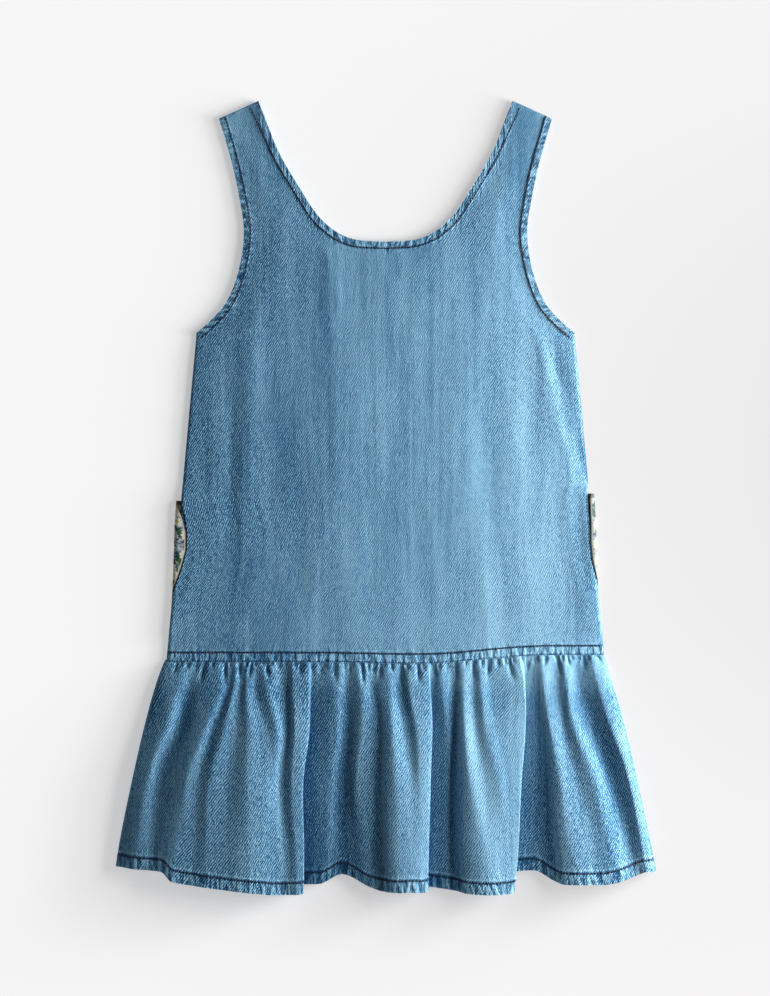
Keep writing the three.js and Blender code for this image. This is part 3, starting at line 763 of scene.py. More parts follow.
# Noise in the denim's tone: waves in a metre along and up the cut, detail, roughness, and share of the tone
GRAINS = {
    "warp": ((1500, 190), 2.0, 0.6, 1.2),
    "weft": ((210, 1500), 1.0, 0.5, 0.6),
    "speck": ((1450, 1450), 2.0, 0.7, 1.8),
    "mottle": ((95, 60), 3.0, 0.6, 0.2),
    "streak": ((42, 5), 2.0, 0.5, 0.6),
    "fine_streak": ((230, 9), 2.0, 0.6, 0.42),
    "wash": ((9, 6), 2.0, 0.5, 0.16),
}

# Places where the denim is paler, or darker where the first number is below 0: a rubbed pale band above the
# waist and a dye streak, and painted light and shade in every other row, as each row says. It is multiplied
# by ramps, each with an axis, the two places it runs between in metres, and its values there if not 0 and 1
ON_SKIRT = ("y", -0.158, -0.185)
WEAR_AND_PAINTED_LIGHT = {
    # Painted shade on the low, downturned part of the right side fold
    "side folds": (-0.8, ("x", 0.11, 0.13), ("y", 0.12, 0.15, 1, 0), ("y", -0.145, -0.13),
                   ("z", 0.0024, 0.0035, 1, 0)),
    # Painted light and shade: darker at the left and paler at the right, as the lamps on the right light
    # the dress
    "painted light towards the right, but not at the straps": (
        0.25, ("x", -0.24, 0.24, -1, 1), ("y", 0.14, 0.34, 1, -0.3)),
    # Painted light at the far left, taking back part of the painted shade there
    "painted light at the left side": (0.175, ("x", -0.12, -0.22)),
    # Painted shade at the far right, taking back part of the painted light there
    "painted shade at the right side": (-0.225, ("x", 0.14, 0.20)),
    # Painted shade low in the skirt's folds, where the recesses lie in shadow
    "painted shade deep in the skirt's folds": (-0.30, ("z", 0.005, 0.014, 1, 0), ON_SKIRT),
    # Painted highlight on the tops of the skirt's folds
    "painted highlight on the tops of the skirt's folds": (0.06, ("z", 0.0175, 0.0225), ON_SKIRT),
    # Painted shade on the right half of the skirt, where the lamps light its folds most
    "painted shade on the right half of the skirt": (-0.12, ("x", 0.05, 0.20), ON_SKIRT),
    # Painted light on the left half of the skirt, where its folds turn away from the lamps
    "painted light on the left half of the skirt": (0.10, ("x", -0.15, -0.135), ("x", -0.08, -0.07, 1, 0), ON_SKIRT),
    # Painted shade in the valley beside the right crease
    "painted shade beside the right crease": (-0.2, ("off_crease", 0.004, 0.011, 1, 0), ("y", 0.03, 0.07),
                                ("y", 0.145, 0.165, 1, 0)),
    "above the waist": (0.06, ("y", -0.095, -0.120), ("y", -0.142, -0.136)),
    "streak at the left": (-0.09, ("off_streak", 0.0, 0.016, 1, 0), ("y", -0.11, -0.07),
                           ("y", 0.155, 0.13)),
    # Painted light, low at the right
    "painted light low at the right": (0.07, ("x", 0.02, 0.13), ("y", 0.1, -0.1)),
}
STREAK_X = -0.132
# Where the right crease runs, beside which the painted shade lies
CREASE_X = 0.1804
CREASE_LEAN = 0.165


@dataclass(frozen=True)
class DenimFinish:
    """Washed light-blue denim: a twill of indigo and white threads, paler where it is rubbed, with painted
    light and shade on its tone.
    """

    name: str = "washed_denim"
    twill_pitch: float = 1.05
    twill_turn: float = 32.0
    twill_share: float = 0.61
    twill_length: float = 2.2
    twill_wave: float = 0.36
    twill_tone: float = 1.15
    twill_wander: float = 5.0
    pucker_waves: tuple[float, float] = (235, 0.7)
    groove_place: float = 1.02
    ridge_place: float = 1.3
    roughness: float = 0.86
    deep: tuple[int, int, int] = (8, 60, 102)
    middle: tuple[int, int, int] = (75, 138, 177)
    pale: tuple[int, int, int] = (163, 209, 234)

    def build(self) -> bpy.types.Material:
        """Return the material."""
        bench = NodeBench(self.name)
        cut = bench.uv("cut")
        thread = 1000 / self.twill_pitch
        lines = bench.mapped(cut, (thread, thread / self.twill_length), self.twill_turn)
        turns = bench.total(bench.times(bench.split(lines)[0], 2 * math.pi * self.twill_share),
                            bench.centred(bench.noise(cut, (260, 200), 1.0), self.twill_wander))
        twill = bench.total(bench.times(bench.math("SINE", turns), self.twill_wave),
                            bench.noise(lines, (1, 1), 1.0))
        grains = {name: bench.noise(cut, *look) for name, (*look, _) in GRAINS.items()}
        shares = [bench.centred(grains[name], row[-1]) for name, row in GRAINS.items()]
        rope, hem_tone_and_shade = self.hem_wear_and_shading(bench)
        # The tone takes in the table's painted light and shade, and the painted shade and highlight along
        # the hems
        tone = bench.total(0.5, bench.centred(twill, self.twill_tone), *shares, self.wear_and_painted_light(bench), hem_tone_and_shade)
        weave = bench.total(twill, bench.times(grains["warp"], 0.5))
        fine = bench.bump(weave, distance=0.0004, strength=0.55)
        return bench.finish(
            Base_Color=bench.colours(tone, [(0.0, self.deep), (0.5, self.middle), (1.0, self.pale)]),
            Roughness=self.roughness, Specular_IOR_Level=0.2, Sheen_Weight=0.04, Sheen_Roughness=0.6,
            Normal=bench.bump(rope, distance=0.0012, strength=0.8, Normal=fine))

    def wear_and_painted_light(self, bench: NodeBench) -> Socket:
        """Return how much paler or darker the cloth is, from the table of rubbed and dyed places and of
        painted light and shade.
        """
        x, y, z = bench.split(bench.place())
        lean = bench.total(x, bench.times(y, CREASE_LEAN))
        axes = {"x": x, "y": y, "z": z, "off_streak": bench.apart(x, STREAK_X),
                "off_crease": bench.apart(lean, CREASE_X)}
        return bench.total(*(bench.times(amount, *(bench.ramp(axes[axis], *ends) for axis, *ends in ramps))
                             for amount, *ramps in WEAR_AND_PAINTED_LIGHT.values()))

    def hem_wear_and_shading(self, bench: NodeBench) -> tuple[Socket, Socket]:
        """Along the stitched hems: puckers, pale rubbed edges that turn to a painted shade at the waist
        seam, a painted shade in the stitching's groove and, on the skirt, a painted highlight on the ridge
        above it. Places across run from 0 at the edge to 1 at the seam.

        Args:
            bench: the material's nodes.

        Returns:
            The puckers' height, and how much paler or darker they are.
        """
        band = bench.uv("band")
        across, up = bench.split(band)[1], bench.split(bench.place())[1]
        ripple = bench.noise(band, self.pucker_waves, 1.0)
        inside = bench.ramp(across, 0.92, 1.12, 1.0, 0.0)
        beyond = bench.ramp(across, 1.05, 2.3, 0.38, 0.0)
        reach = bench.math("MAXIMUM", inside, beyond)
        height = bench.times(bench.ramp(ripple, 0.3, 0.7), reach)
        waist = bench.times(bench.ramp(up, -0.09, -0.12), bench.ramp(up, -0.17, -0.155))
        strength = bench.times(reach, bench.math("SUBTRACT", 1.0, bench.times(waist, 0.4)))
        puckers = bench.times(bench.total(bench.centred(ripple, 1.8), -0.03), strength)
        # Pale rubbed edges, which turn darker at the waist: a painted shade along the waist seam
        pale = bench.math("SUBTRACT", 0.10, bench.times(waist, 0.6))
        edge = bench.times(bench.ramp(across, 0.0, 0.2, 1.0, 0.0), pale)
        # Painted shade in the groove along the stitching
        groove_shade = bench.ramp(bench.apart(across, self.groove_place), 0.0, 0.2, -0.62, 0.0)
        # Painted highlight on the ridge just above the skirt hem's stitching
        ridge = bench.times(bench.ramp(bench.apart(across, self.ridge_place), 0.0, 0.18, 0.24, 0.0),
                            bench.ramp(up, -0.2, -0.26))
        return height, bench.total(puckers, edge, groove_shade, ridge)


@dataclass(frozen=True)
class PrintFinish:
    """Pocket cotton with a small all-over print of daisies and leaves, with painted shade along its edge,
    in its mouth and over the right pocket.
    """

    name: str = "daisy_print_cotton"
    flower_pitch: float = 13.0
    petals: int = 8
    roughness: float = 0.8

    def build(self) -> bpy.types.Material:
        """Return the material."""
        bench = NodeBench(self.name)
        cut = bench.uv("cut")
        petal, heart = self.daisies(bench, cut)
        leaf_colour = bench.colours(bench.noise(cut, (300, 300), 1.0),
                                    [(0.3, (28, 72, 40)), (0.7, (70, 116, 58))])
        mouth, side, _ = bench.split(bench.uv("band"))
        x_for_painted_shade = bench.split(bench.place())[0]
        colour = bench.colours(bench.noise(cut, (140, 140)),
                               [(0.35, (118, 142, 164)), (0.6, (186, 192, 192))])
        for share, paint in (
            (self.leaves(bench, cut, 105.0, 35.0, 0.30), leaf_colour),
            (self.leaves(bench, cut, 230.0, -50.0, 0.17), linear(44, 62, 104)),
            (self.leaves(bench, cut, 330.0, 80.0, 0.13), linear(40, 44, 54)),
            (petal, linear(222, 221, 214)),
            (heart, linear(190, 196, 96)),
            (bench.ramp(side, 1.5, 1.8, 1.0, 0.0), linear(196, 190, 170)),
            # Painted contact shadow along the pocket's edge, where it meets the denim
            (bench.ramp(side, 0.5, 0.7, 1.0, 0.0), linear(78, 52, 44)),
            # Painted shadow inside the pocket's gaping mouth
            (bench.ramp(mouth, 3.5, 5.0, 0.8, 0.0), linear(96, 72, 48)),
            # Painted shade over the right pocket
            (bench.ramp(x_for_painted_shade, 0.12, 0.15, 0.0, 0.6), linear(70, 84, 84)),
        ):
            colour = bench.mix(share, colour, paint)
        weave = bench.bump(bench.noise(cut, (1600, 1600), 1.0), distance=0.0002, strength=0.5)
        return bench.finish(Base_Color=colour, Roughness=self.roughness, Specular_IOR_Level=0.2,
                            Normal=weave)

    def cells(self, bench: NodeBench, vector: Socket) -> tuple[Socket, Socket]:
        """Return the place of each point from the middle of its own cell, sideways and upwards."""
        made = bench.node("ShaderNodeTexVoronoi", Vector=vector, Scale=1.0, Randomness=0.75)
        made.voronoi_dimensions = "2D"
        away = bench.vector_math("SUBTRACT", vector, made.outputs["Position"])
        return tuple(bench.split(away.outputs["Vector"])[:2])

    def leaves(self, bench: NodeBench, cut: Socket, scale: float, turn: float, size: float) -> Socket:
        """Return 1 inside small slim leaves, one for each cell."""
        x, y = self.cells(bench, bench.mapped(cut, (scale, scale * 0.6), turn))
        reach = bench.total(bench.times(bench.apart(x, 0.0), 1.5),
                            bench.times(bench.math("POWER", bench.apart(y, 0.0), 1.4), 1.3))
        return bench.ramp(reach, size * 1.6, size * 1.9, 1.0, 0.0)

    def daisies(self, bench: NodeBench, cut: Socket) -> tuple[Socket, Socket]:
        """Return 1 inside the petals, and 1 inside the flowers' hearts."""
        pitch = 1000 / self.flower_pitch
        x, y = self.cells(bench, bench.mapped(cut, (pitch, pitch)))
        radius = bench.math("SQRT", bench.total(bench.times(x, x), bench.times(y, y)))
        angle = bench.math("ARCTAN2", y, x)
        wave = bench.apart(bench.math("COSINE", bench.times(angle, self.petals / 2)), 0.0)
        reach = bench.ramp(wave, 0.0, 0.7, 0.22, 0.37)
        petal = bench.ramp(bench.math("SUBTRACT", radius, reach), -0.01, 0.015, 1.0, 0.0)
        heart = bench.ramp(radius, 0.125, 0.15, 1.0, 0.0)
        return petal, heart


@dataclass(frozen=True)
class ThreadFinish:
    """Topstitching thread, dark navy with brown places."""

    name: str = "topstitch_thread"
    roughness: float = 0.6

    def build(self) -> bpy.types.Material:
        """Return the material."""
        bench = NodeBench(self.name)
        place = bench.place()
        patches = bench.node("ShaderNodeTexNoise", Vector=place, Scale=34.0, Detail=2.0).outputs[0]
        twist = bench.node("ShaderNodeTexNoise", Vector=place, Scale=3000.0, Detail=1.0).outputs[0]
        colour = bench.colours(patches, [(0.46, (30, 32, 52)), (0.6, (44, 36, 46)), (0.74, (88, 50, 46))])
        return bench.finish(Base_Color=colour, Roughness=self.roughness, Specular_IOR_Level=0.3,
                            Normal=bench.bump(twist, distance=0.0002, strength=0.6))


# Stitching


# How far a stitch's middle lies over the cloth
THREAD_LIFT = 0.06


@dataclass
class Stitcher:
    """Lays rows of lockstitch on the cloth, from one low-poly stitch that is copied."""

    material: bpy.types.Material
    pitch: float = 3.1
    length: float = 2.5
    width: float = 2.0
    height: float = 0.6
    look: float = 0.6

    def __post_init__(self) -> None:
        """Model one stitch, and keep its points and faces."""
        bpy.ops.object.select_all(action="DESELECT")
        bpy.ops.mesh.primitive_uv_sphere_add(segments=6, ring_count=5, radius=0.5)
        obj = bpy.context.object
        obj.scale = (self.width, self.height, self.length)
        bpy.ops.object.transform_apply(location=False, rotation=False, scale=True)
        self.points = np.array([tuple(v.co) for v in obj.data.vertices])
        self.faces = [tuple(p.vertices) for p in obj.data.polygons]
        bpy.data.objects.remove(obj, do_unlink=True)

    def lay(self, name: str, path: Array, normals: Array) -> bpy.types.Object:
        """Stitch along a path.

        Args:
            name: the row's name.
            path: points on the cloth's surface.
            normals: the direction the cloth faces at each.

        Returns:
            The row of stitches.
        """
        reach = arc_lengths(path, 0)
        count = int(reach[-1] / self.pitch)
        at = (np.arange(count) + 0.5) * reach[-1] / count

        def along_row(values: Array, places: Array) -> Array:
            return stacked(*(np.interp(places, reach, values[:, k]) for k in range(3)))

        along = unit(along_row(path, at + self.look) - along_row(path, at - self.look))
        across = unit(np.cross(along_row(normals, at), along))
        axes = np.stack([across, np.cross(along, across), along], axis=1)
        spots = along_row(path, at)[:, None] + self.points @ axes
        size = len(self.points)
        faces = [tuple(k * size + v for v in face) for k in range(count) for face in self.faces]
        mesh = bpy.data.meshes.new(name)
        mesh.from_pydata((spots.reshape(-1, 3) * MM).tolist(), [], faces)
        mesh.update()
        obj = in_scene(name, mesh)
        for polygon in mesh.polygons:
            polygon.use_smooth = True
        finish_piece(obj, self.material, Slot.THREAD)
        return obj


# The body


@dataclass(frozen=True)
class Panel:
    """How finely a body panel's half is gridded, and how far inside the back's edges its own lie.

    The stops are rises up the side, each with the step that follows it, and upper rows go on to the hem.
    """

    step: float
    upper_rows: int
    stops: tuple[tuple[float, float], ...]
    drop: float = 0.0
    inset: float = 0.0
    fold_columns: int = 10


BACK = Panel(2.55, 44, ((0, 1.4), (8.6, 0.8), (9.4, 2.6), (62, 2.4), (160, 2.7)))
FRONT = Panel(5.5, 22, ((0, 3), (9, 4), (27, 2.6), (160, 5)), drop=9.0, inset=2.5)

# Share of the front's fold columns that lie round the roll
ROLLED = 0.8

# Rows across a hem, as shares of its width from the edge
HEM_ROWS = np.array([1.12, 0.97, 0.84, 0.68, 0.5, 0.32, 0.16, 0.06, 0.0])

# The farthest place across a hem that its texture has
BAND_LIMIT = 5.0

# Where the runs of the armholes' and the waist's hems start, so that no two hems have the same puckers
ARM_START = 900
WAIST_START = 2000


@dataclass
class Body:
    """The two body panels, joined at the side seams, with turned hems at the neck and armholes."""

    layers: Layers
    denim: bpy.types.Material
    stitcher: Stitcher
    neck_stitch: float = 6.0
    waist_stitch: float = 8.1
    edge_stray: float = 0.18
    waist_stray: float = 0.22
    strap_gap: float = 1.5
    seam_gap: float = 3.2

    @property
    def cut(self) -> Outline:
        """The dress's edges."""
        return self.layers.cut

    def half_columns(self, panel: Panel) -> tuple[Array, Array]:
        """Columns of a half panel. One of them goes through the strap's inner corner.

        Args:
            panel: the panel's grid.

        Returns:
            Each column's distance from the side, and its share of the flat part.
        """
        top = float(self.cut.armhole(self.cut.strap_inner[1])) - self.cut.fold_end
        width = self.cut.waist[0] - self.cut.fold_end
        step = panel.step / width
        shares = spaced([(1 - 1.6 / width, step * 0.8), (self.cut.strap_inner[0] / top, step), (0.0, 1.0)])
        offsets = np.linspace(0, self.cut.fold_end, panel.fold_columns)
        return (
            np.concatenate([offsets, np.full(len(shares), self.cut.fold_end)]),
            np.concatenate([np.ones(panel.fold_columns), shares]),
        )

    def column_tops(self, offsets: Array, shares: Array, drop: float) -> tuple[Array, Array]:
        """Where each column meets the top edge.

        Args:
            offsets: each column's distance from the side.
            shares: its share of what is left.
            drop: how much lower the neckline is than the back's.

        Returns:
            The height of the top, and the hem's height there.
        """
        low = np.full(len(offsets), self.cut.underarm[1])
        high = np.full(len(offsets), self.cut.strap_inner[1] + 1)
        for _ in range(40):
            middle = (low + high) / 2
            x = (self.cut.half_width(middle) - offsets) * shares
            above = self.cut.top_edge_y(x) > middle
            low, high = np.where(above, middle, low), np.where(above, high, middle)
        x = (self.cut.half_width(low) - offsets) * shares
        neck = x <= self.cut.strap_inner[0] + 0.01
        slope = np.where(neck, self.cut.neck_slope(np.minimum(x, self.cut.strap_inner[0])), 0)
        return low - np.where(neck, drop, 0), self.cut.edge_hem_width * np.hypot(1, slope)

    def heights(self, side: Side, panel: Panel) -> tuple[Array, Array, Array, Array]:
        """Rows and columns of a half panel.

        Args:
            side: which half.
            panel: the panel's grid.

        Returns:
            The columns' distances and shares, and each point's height and rise.
        """
        rises = spaced([*panel.stops, (self.cut.body_rise, 1)])
        offsets, shares = self.half_columns(panel)
        tops, hems = self.column_tops(offsets, shares, panel.drop)
        base = side.value * (self.cut.waist[0] - offsets) * shares
        base = np.where(shares == 1, side.value * self.cut.waist[0], base)
        lower = self.cut.rise_to_y(base[None, :], rises[:, None])
        reach = tops - hems * 1.3
        uppers = np.linspace(0, 1, panel.upper_rows)[1:, None]
        upper = lerp(self.cut.underarm[1], reach[None, :], uppers)
        top = tops[None, :] - hems[None, :] * HEM_ROWS[:, None]
        y = np.concatenate([lower, upper, top])
        rise = np.concatenate([rises, np.full(len(y) - len(rises), self.cut.body_rise)])
        return offsets, shares, y, np.broadcast_to(rise[:, None], y.shape)

    def thickness(self, x: Array, y: Array) -> Array:
        """Return the back panel's thickness, one layer or a turned hem."""
        cut = self.cut

        def ridge(distance: Array, width: float) -> Array:
            return lerp(cut.hem, cut.cloth, smoothstep(distance, width - 0.35, width + 0.35))

        neck = cut.hem_distance(x, y)
        arm = lerp(cut.cloth, ridge(cut.armhole_distance(x, y), cut.edge_hem_width), cut.freedom(y))
        beside = smoothstep(cut.half_width(y) - np.abs(x), 1, 3.5)
        band = lerp(cut.cloth, ridge(y - cut.waist_y(x), cut.band_width), beside)
        thick = np.maximum(np.maximum(ridge(neck, cut.edge_hem_width), arm), band)
        end = (y > cut.strap_outer[1] - 12) & (np.abs(x) > cut.strap_inner[0] - 1)
        return np.where(end & (cut.strap_end_distance(x, y) < 1), cut.cloth, thick)

    def hem_place(self, x: Array, y: Array) -> Array:
        """Place along and across the nearest hem, across in shares of the way to its stitching."""
        cut = self.cut
        xs = np.linspace(0, cut.strap_inner[0], 200)
        neck_run = arc_lengths(stacked(xs, cut.neckline(xs)), 0)
        ys = np.linspace(cut.underarm[1], cut.strap_outer[1], 200)
        arm_run = arc_lengths(stacked(cut.armhole(ys), ys), 0)
        neck = cut.hem_distance(x, y) / self.neck_stitch
        arm = cut.armhole_distance(x, y) / self.neck_stitch
        arm = np.where(y > cut.underarm[1] - 1, arm, FAR)
        waist = (y - cut.waist_y(x)) / self.waist_stitch
        across = np.minimum(np.minimum(neck, arm), waist)
        along_neck = np.sign(x) * np.interp(np.abs(x), xs, neck_run)
        along_arm = ARM_START + np.sign(x) * np.interp(y, ys, arm_run)
        along = np.where(across == waist, WAIST_START + x, np.where(across == neck, along_neck, along_arm))
        return stacked(along * MM, np.minimum(across, BAND_LIMIT))

    def join_halves(self, halves: list[tuple[Array, Array]]) -> list[Array]:
        """Return whole grids from those of two halves, which share their middle column."""
        return [np.concatenate([left, right[:, ::-1][:, 1:]], axis=1) for left, right in zip(*halves)]

    def strap_z(self, upwards: int) -> float:
        """Return the height of a panel's strap ends, 1 for the upper panel and -1 for the lower."""
        cut = self.cut
        return (cut.back_z + cut.front_z) / 2 + upwards * (cut.cloth + cut.seam_gap) / 2

    def back_grid(self) -> ClothGrid:
        """Return the back panel."""
        cut, layers = self.cut, self.layers
        halves = []
        for side in Side:
            offsets, shares, y, rise = self.heights(side, BACK)
            freedom = cut.freedom(y)
            start = layers.seam_shift(side, rise) + cut.seam_gap / 2
            last = start - (cut.roll_arc - cut.cloth / 2 - cut.roll)
            limit = cut.half_width(y) - cut.fold_end - last * (1 - freedom)
            flat_x = np.where(shares == 1, cut.half_width(y) - offsets, limit * shares) * side.value
            points = stacked(flat_x, y, layers.back_height(flat_x, y))
            stack = layers.stack_point(side, start + offsets[None, :], y)
            fold = (shares == 1)[None, :, None]
            points = np.where(fold, lerp(stack, points, freedom[..., None]), points)
            flat = stacked(side.value * (cut.half_width(y) - offsets) * shares, y)
            halves.append((layers.settle_straps(points, self.strap_z(1)), flat))
        points, flat = self.join_halves(halves)
        x, y = points[..., 0], points[..., 1]
        band = self.hem_place(x, y)
        near = 1 - smoothstep(band[..., 1], 0.9, 2.2)
        points[..., 2] += near * layers.edge(band[..., 0] / MM, band[..., 1])
        return ClothGrid(points, self.thickness(x, y), flat, band)

    def front_grid(self) -> ClothGrid:
        """Return the front panel, which lies face down on the surface."""
        cut, layers, pocket = self.cut, self.layers, self.layers.pocket
        halves = []
        for side in Side:
            offsets, shares, y, rise = self.heights(side, FRONT)
            start = layers.seam_shift(side, rise) - cut.seam_gap
            part = offsets[None, :] / cut.fold_end
            e = np.where(part < ROLLED, lerp(start, -cut.roll_arc, part / ROLLED),
                         lerp(-cut.roll_arc, -cut.under_end, (part - ROLLED) / (1 - ROLLED)))
            flat_x = side.value * (cut.half_width(y) - offsets) * shares
            level = stacked(flat_x, y, cut.front_z)
            fold = (shares == 1)[None, :, None]
            points = np.where(fold, layers.stack_point(side, e, y), level)
            normal = np.where(fold & (part < 0.99)[..., None], layers.stack_normal(side, e, y),
                              np.array([0.0, 0.0, -1.0]))
            points = points - normal * (pocket.lift * layers.pocket_cover(points[..., 0], y))[..., None]
            level[..., 0] -= side.value * FRONT.inset * np.abs(flat_x) / cut.half_width(y)
            points = lerp(points, level, cut.freedom(y)[..., None])
            halves.append((layers.settle_straps(points, self.strap_z(-1)), stacked(flat_x, y)))
        points, flat = self.join_halves(halves)
        band = self.hem_place(points[..., 0], points[..., 1])
        return ClothGrid(points, np.full(points.shape[:2], cut.cloth), flat, band)

    def surface(self, x: Array, y: Array) -> tuple[Array, Array]:
        """Points and normals on top of the back panel.

        Args:
            x: places across it.
            y: places up it.

        Returns:
            The points and the directions that they face.
        """
        def top(px: Array, py: Array) -> Array:
            return self.layers.back_height(px, py) + self.cut.hem / 2

        slope_x = (top(x + 1, y) - top(x - 1, y)) / 2
        slope_y = (top(x, y + 1) - top(x, y - 1)) / 2
        return stacked(x, y, top(x, y) + THREAD_LIFT), unit(stacked(-slope_x, -slope_y, 1.0))

    def stitch(self) -> list[bpy.types.Object]:
        """Sew the back's hems and waist seam, and return the rows of stitches."""
        cut, lay = self.cut, self.stitcher.lay
        wander = Waviness(7, 26, 10, 1.0)
        rows = []
        end = cut.strap_inner[0] - 1.2
        xs = np.linspace(-end, end, 500)
        ax = np.abs(xs)
        apart = self.neck_stitch + 2.0 * smoothstep(ax, 98, 114) + self.edge_stray * wander(xs, 0.0)
        inward = apart / np.hypot(1, cut.neck_slope(ax))
        x = xs + np.sign(xs) * cut.neck_slope(ax) * inward
        y = cut.neckline(ax) - inward
        keep = cut.strap_end_distance(x, y) > self.strap_gap
        keep &= y < cut.strap_end_y(np.abs(x))
        rows.append(lay("stitches_neck", *self.surface(x[keep], y[keep])))
        for side in Side:
            ys = np.linspace(cut.underarm[1] + 0.5, cut.strap_outer[1] + 1, 400)
            slope = cut.armhole(ys + 0.5) - cut.armhole(ys - 0.5)
            apart = self.neck_stitch + self.edge_stray * wander(ys, 40 * side.value)
            inward = apart / np.hypot(1, slope)
            x = side.value * (cut.armhole(ys) - inward)
            y = ys + slope * inward
            keep = (cut.strap_end_distance(x, y) > self.strap_gap) & (y > cut.underarm[1] - 5.5)
            points, normals = self.surface(x[keep], y[keep])
            rows.append(lay(f"stitches_armhole_{side.name.lower()}", points, normals))
        end = cut.waist[0] - self.seam_gap
        xs = np.linspace(-end, end, 600)
        y = cut.waist_y(xs) + self.waist_stitch + self.waist_stray * wander(xs, 90)
        rows.append(lay("stitches_waist", *self.surface(xs, y)))
        return rows

    def build(self) -> None:
        """Make both panels and their stitching."""
        cut = self.cut
        back = self.back_grid()
        LOG.info("back body area %.4f m2", back.area())
        panel = cloth_piece("back_panel", back, (cut.cloth, cut.hem), self.denim, Slot.DENIM)
        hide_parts("back_body")
        back.area()
        self.stitch()
        front = self.front_grid()
        LOG.info("front body area %.4f m2", front.area())
        panel = cloth_piece("front_panel", front, (cut.cloth, cut.cloth), self.denim, Slot.DENIM)
        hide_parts("front_body")
        front.area()


# The pockets


# Shares of a pocket's width from the fold at which it has rounded the fold, and come under the front. Then
# shares of the half width where its columns lie, and the shares of its own width there
ROUND_END = 0.467
UNDER_END = 0.533
POCKET_SHARES = (1, 0.88, 0.78, 0.68, 0.6, 0.54, 0.5, 0.47)
POCKET_PARTS = (0.533, 0.6, 0.667, 0.733, 0.8, 0.867, 0.933, 1.0)


@dataclass
class Pocket:
    """A patch pocket on the front, caught in a side seam and turned round the side fold with it."""

    side: Side
    layers: Layers
    cotton: bpy.types.Material

    def grid(self) -> ClothGrid:
        """Return the pocket's cloth."""
        cut, layers, size = self.layers.cut, self.layers, self.layers.pocket
        top = size.top_rise - (size.left_drop if self.side is Side.LEFT else size.right_drop)
        rounding = np.linspace(0, ROUND_END, 10)
        under = np.linspace(0.49, UNDER_END, 3)
        shares = spaced([(0.94, 0.011), (size.inner_share, 1)])
        place = np.interp(-shares, -np.array(POCKET_SHARES), POCKET_PARTS)
        part = np.concatenate([rounding, under, place])
        fold = len(rounding) + len(under)
        share = np.concatenate([np.ones(fold), shares])
        rows = spaced([(size.bottom_rise, 2.0), (62, 1.5), (top - 14, 1.4), (top, 1)])
        inner = np.clip((part - size.corner_from) / (1 - size.corner_from), 0, 1)
        bottom = size.bottom_rise + size.corner_rise * (1 - np.sqrt(1 - inner**2))
        along = (rows - size.bottom_rise) / (top - size.bottom_rise)
        rise = lerp(bottom[None, :], top, along[:, None])
        s = self.side.value
        y = cut.rise_to_y(s * share[None, :] * cut.waist[0], rise)
        start = layers.seam_shift(self.side, rise) - cut.seam_gap
        turned = np.clip(part / ROUND_END, 0, 1)[None, :]
        inwards = np.clip((part - ROUND_END) / (UNDER_END - ROUND_END), 0, 1)[None, :]
        e = np.where((part <= ROUND_END)[None, :], lerp(start, -cut.roll_arc, turned),
                     lerp(-cut.roll_arc, -cut.under_end, inwards))
        level = stacked(s * share * cut.half_width(y), y, cut.front_z)
        on_fold = np.arange(len(share)) < fold
        points = np.where(on_fold[None, :, None], layers.stack_point(self.side, e, y), level)
        mouth = 1 - smoothstep(top - rise, 0, size.gape_depth)
        beside = np.exp(-((e / size.gape_reach) ** 2))
        points[..., 0] += s * size.gape * mouth * beside * on_fold[None, :]
        band = stacked(top - rise, arc_lengths(points, 1))
        if self.side is Side.RIGHT:
            points, band = points[:, ::-1], band[:, ::-1]
        flat = stacked(arc_lengths(points, 1), arc_lengths(points, 0))
        return ClothGrid(points, np.full(points.shape[:2], cut.cloth), flat, band)

    def build(self) -> None:
        """Make the pocket."""
        grid = self.grid()
        name = f"{self.side.name.lower()}_pocket_cotton"
        LOG.info("%s area %.5f m2", name, grid.area())
        cloth = self.layers.cut.cloth
        obj = cloth_piece(name, grid, (cloth, cloth), self.cotton, Slot.PRINT)
        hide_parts(f"pocket_{self.side.name.lower()}")
        grid.area()


# The skirt

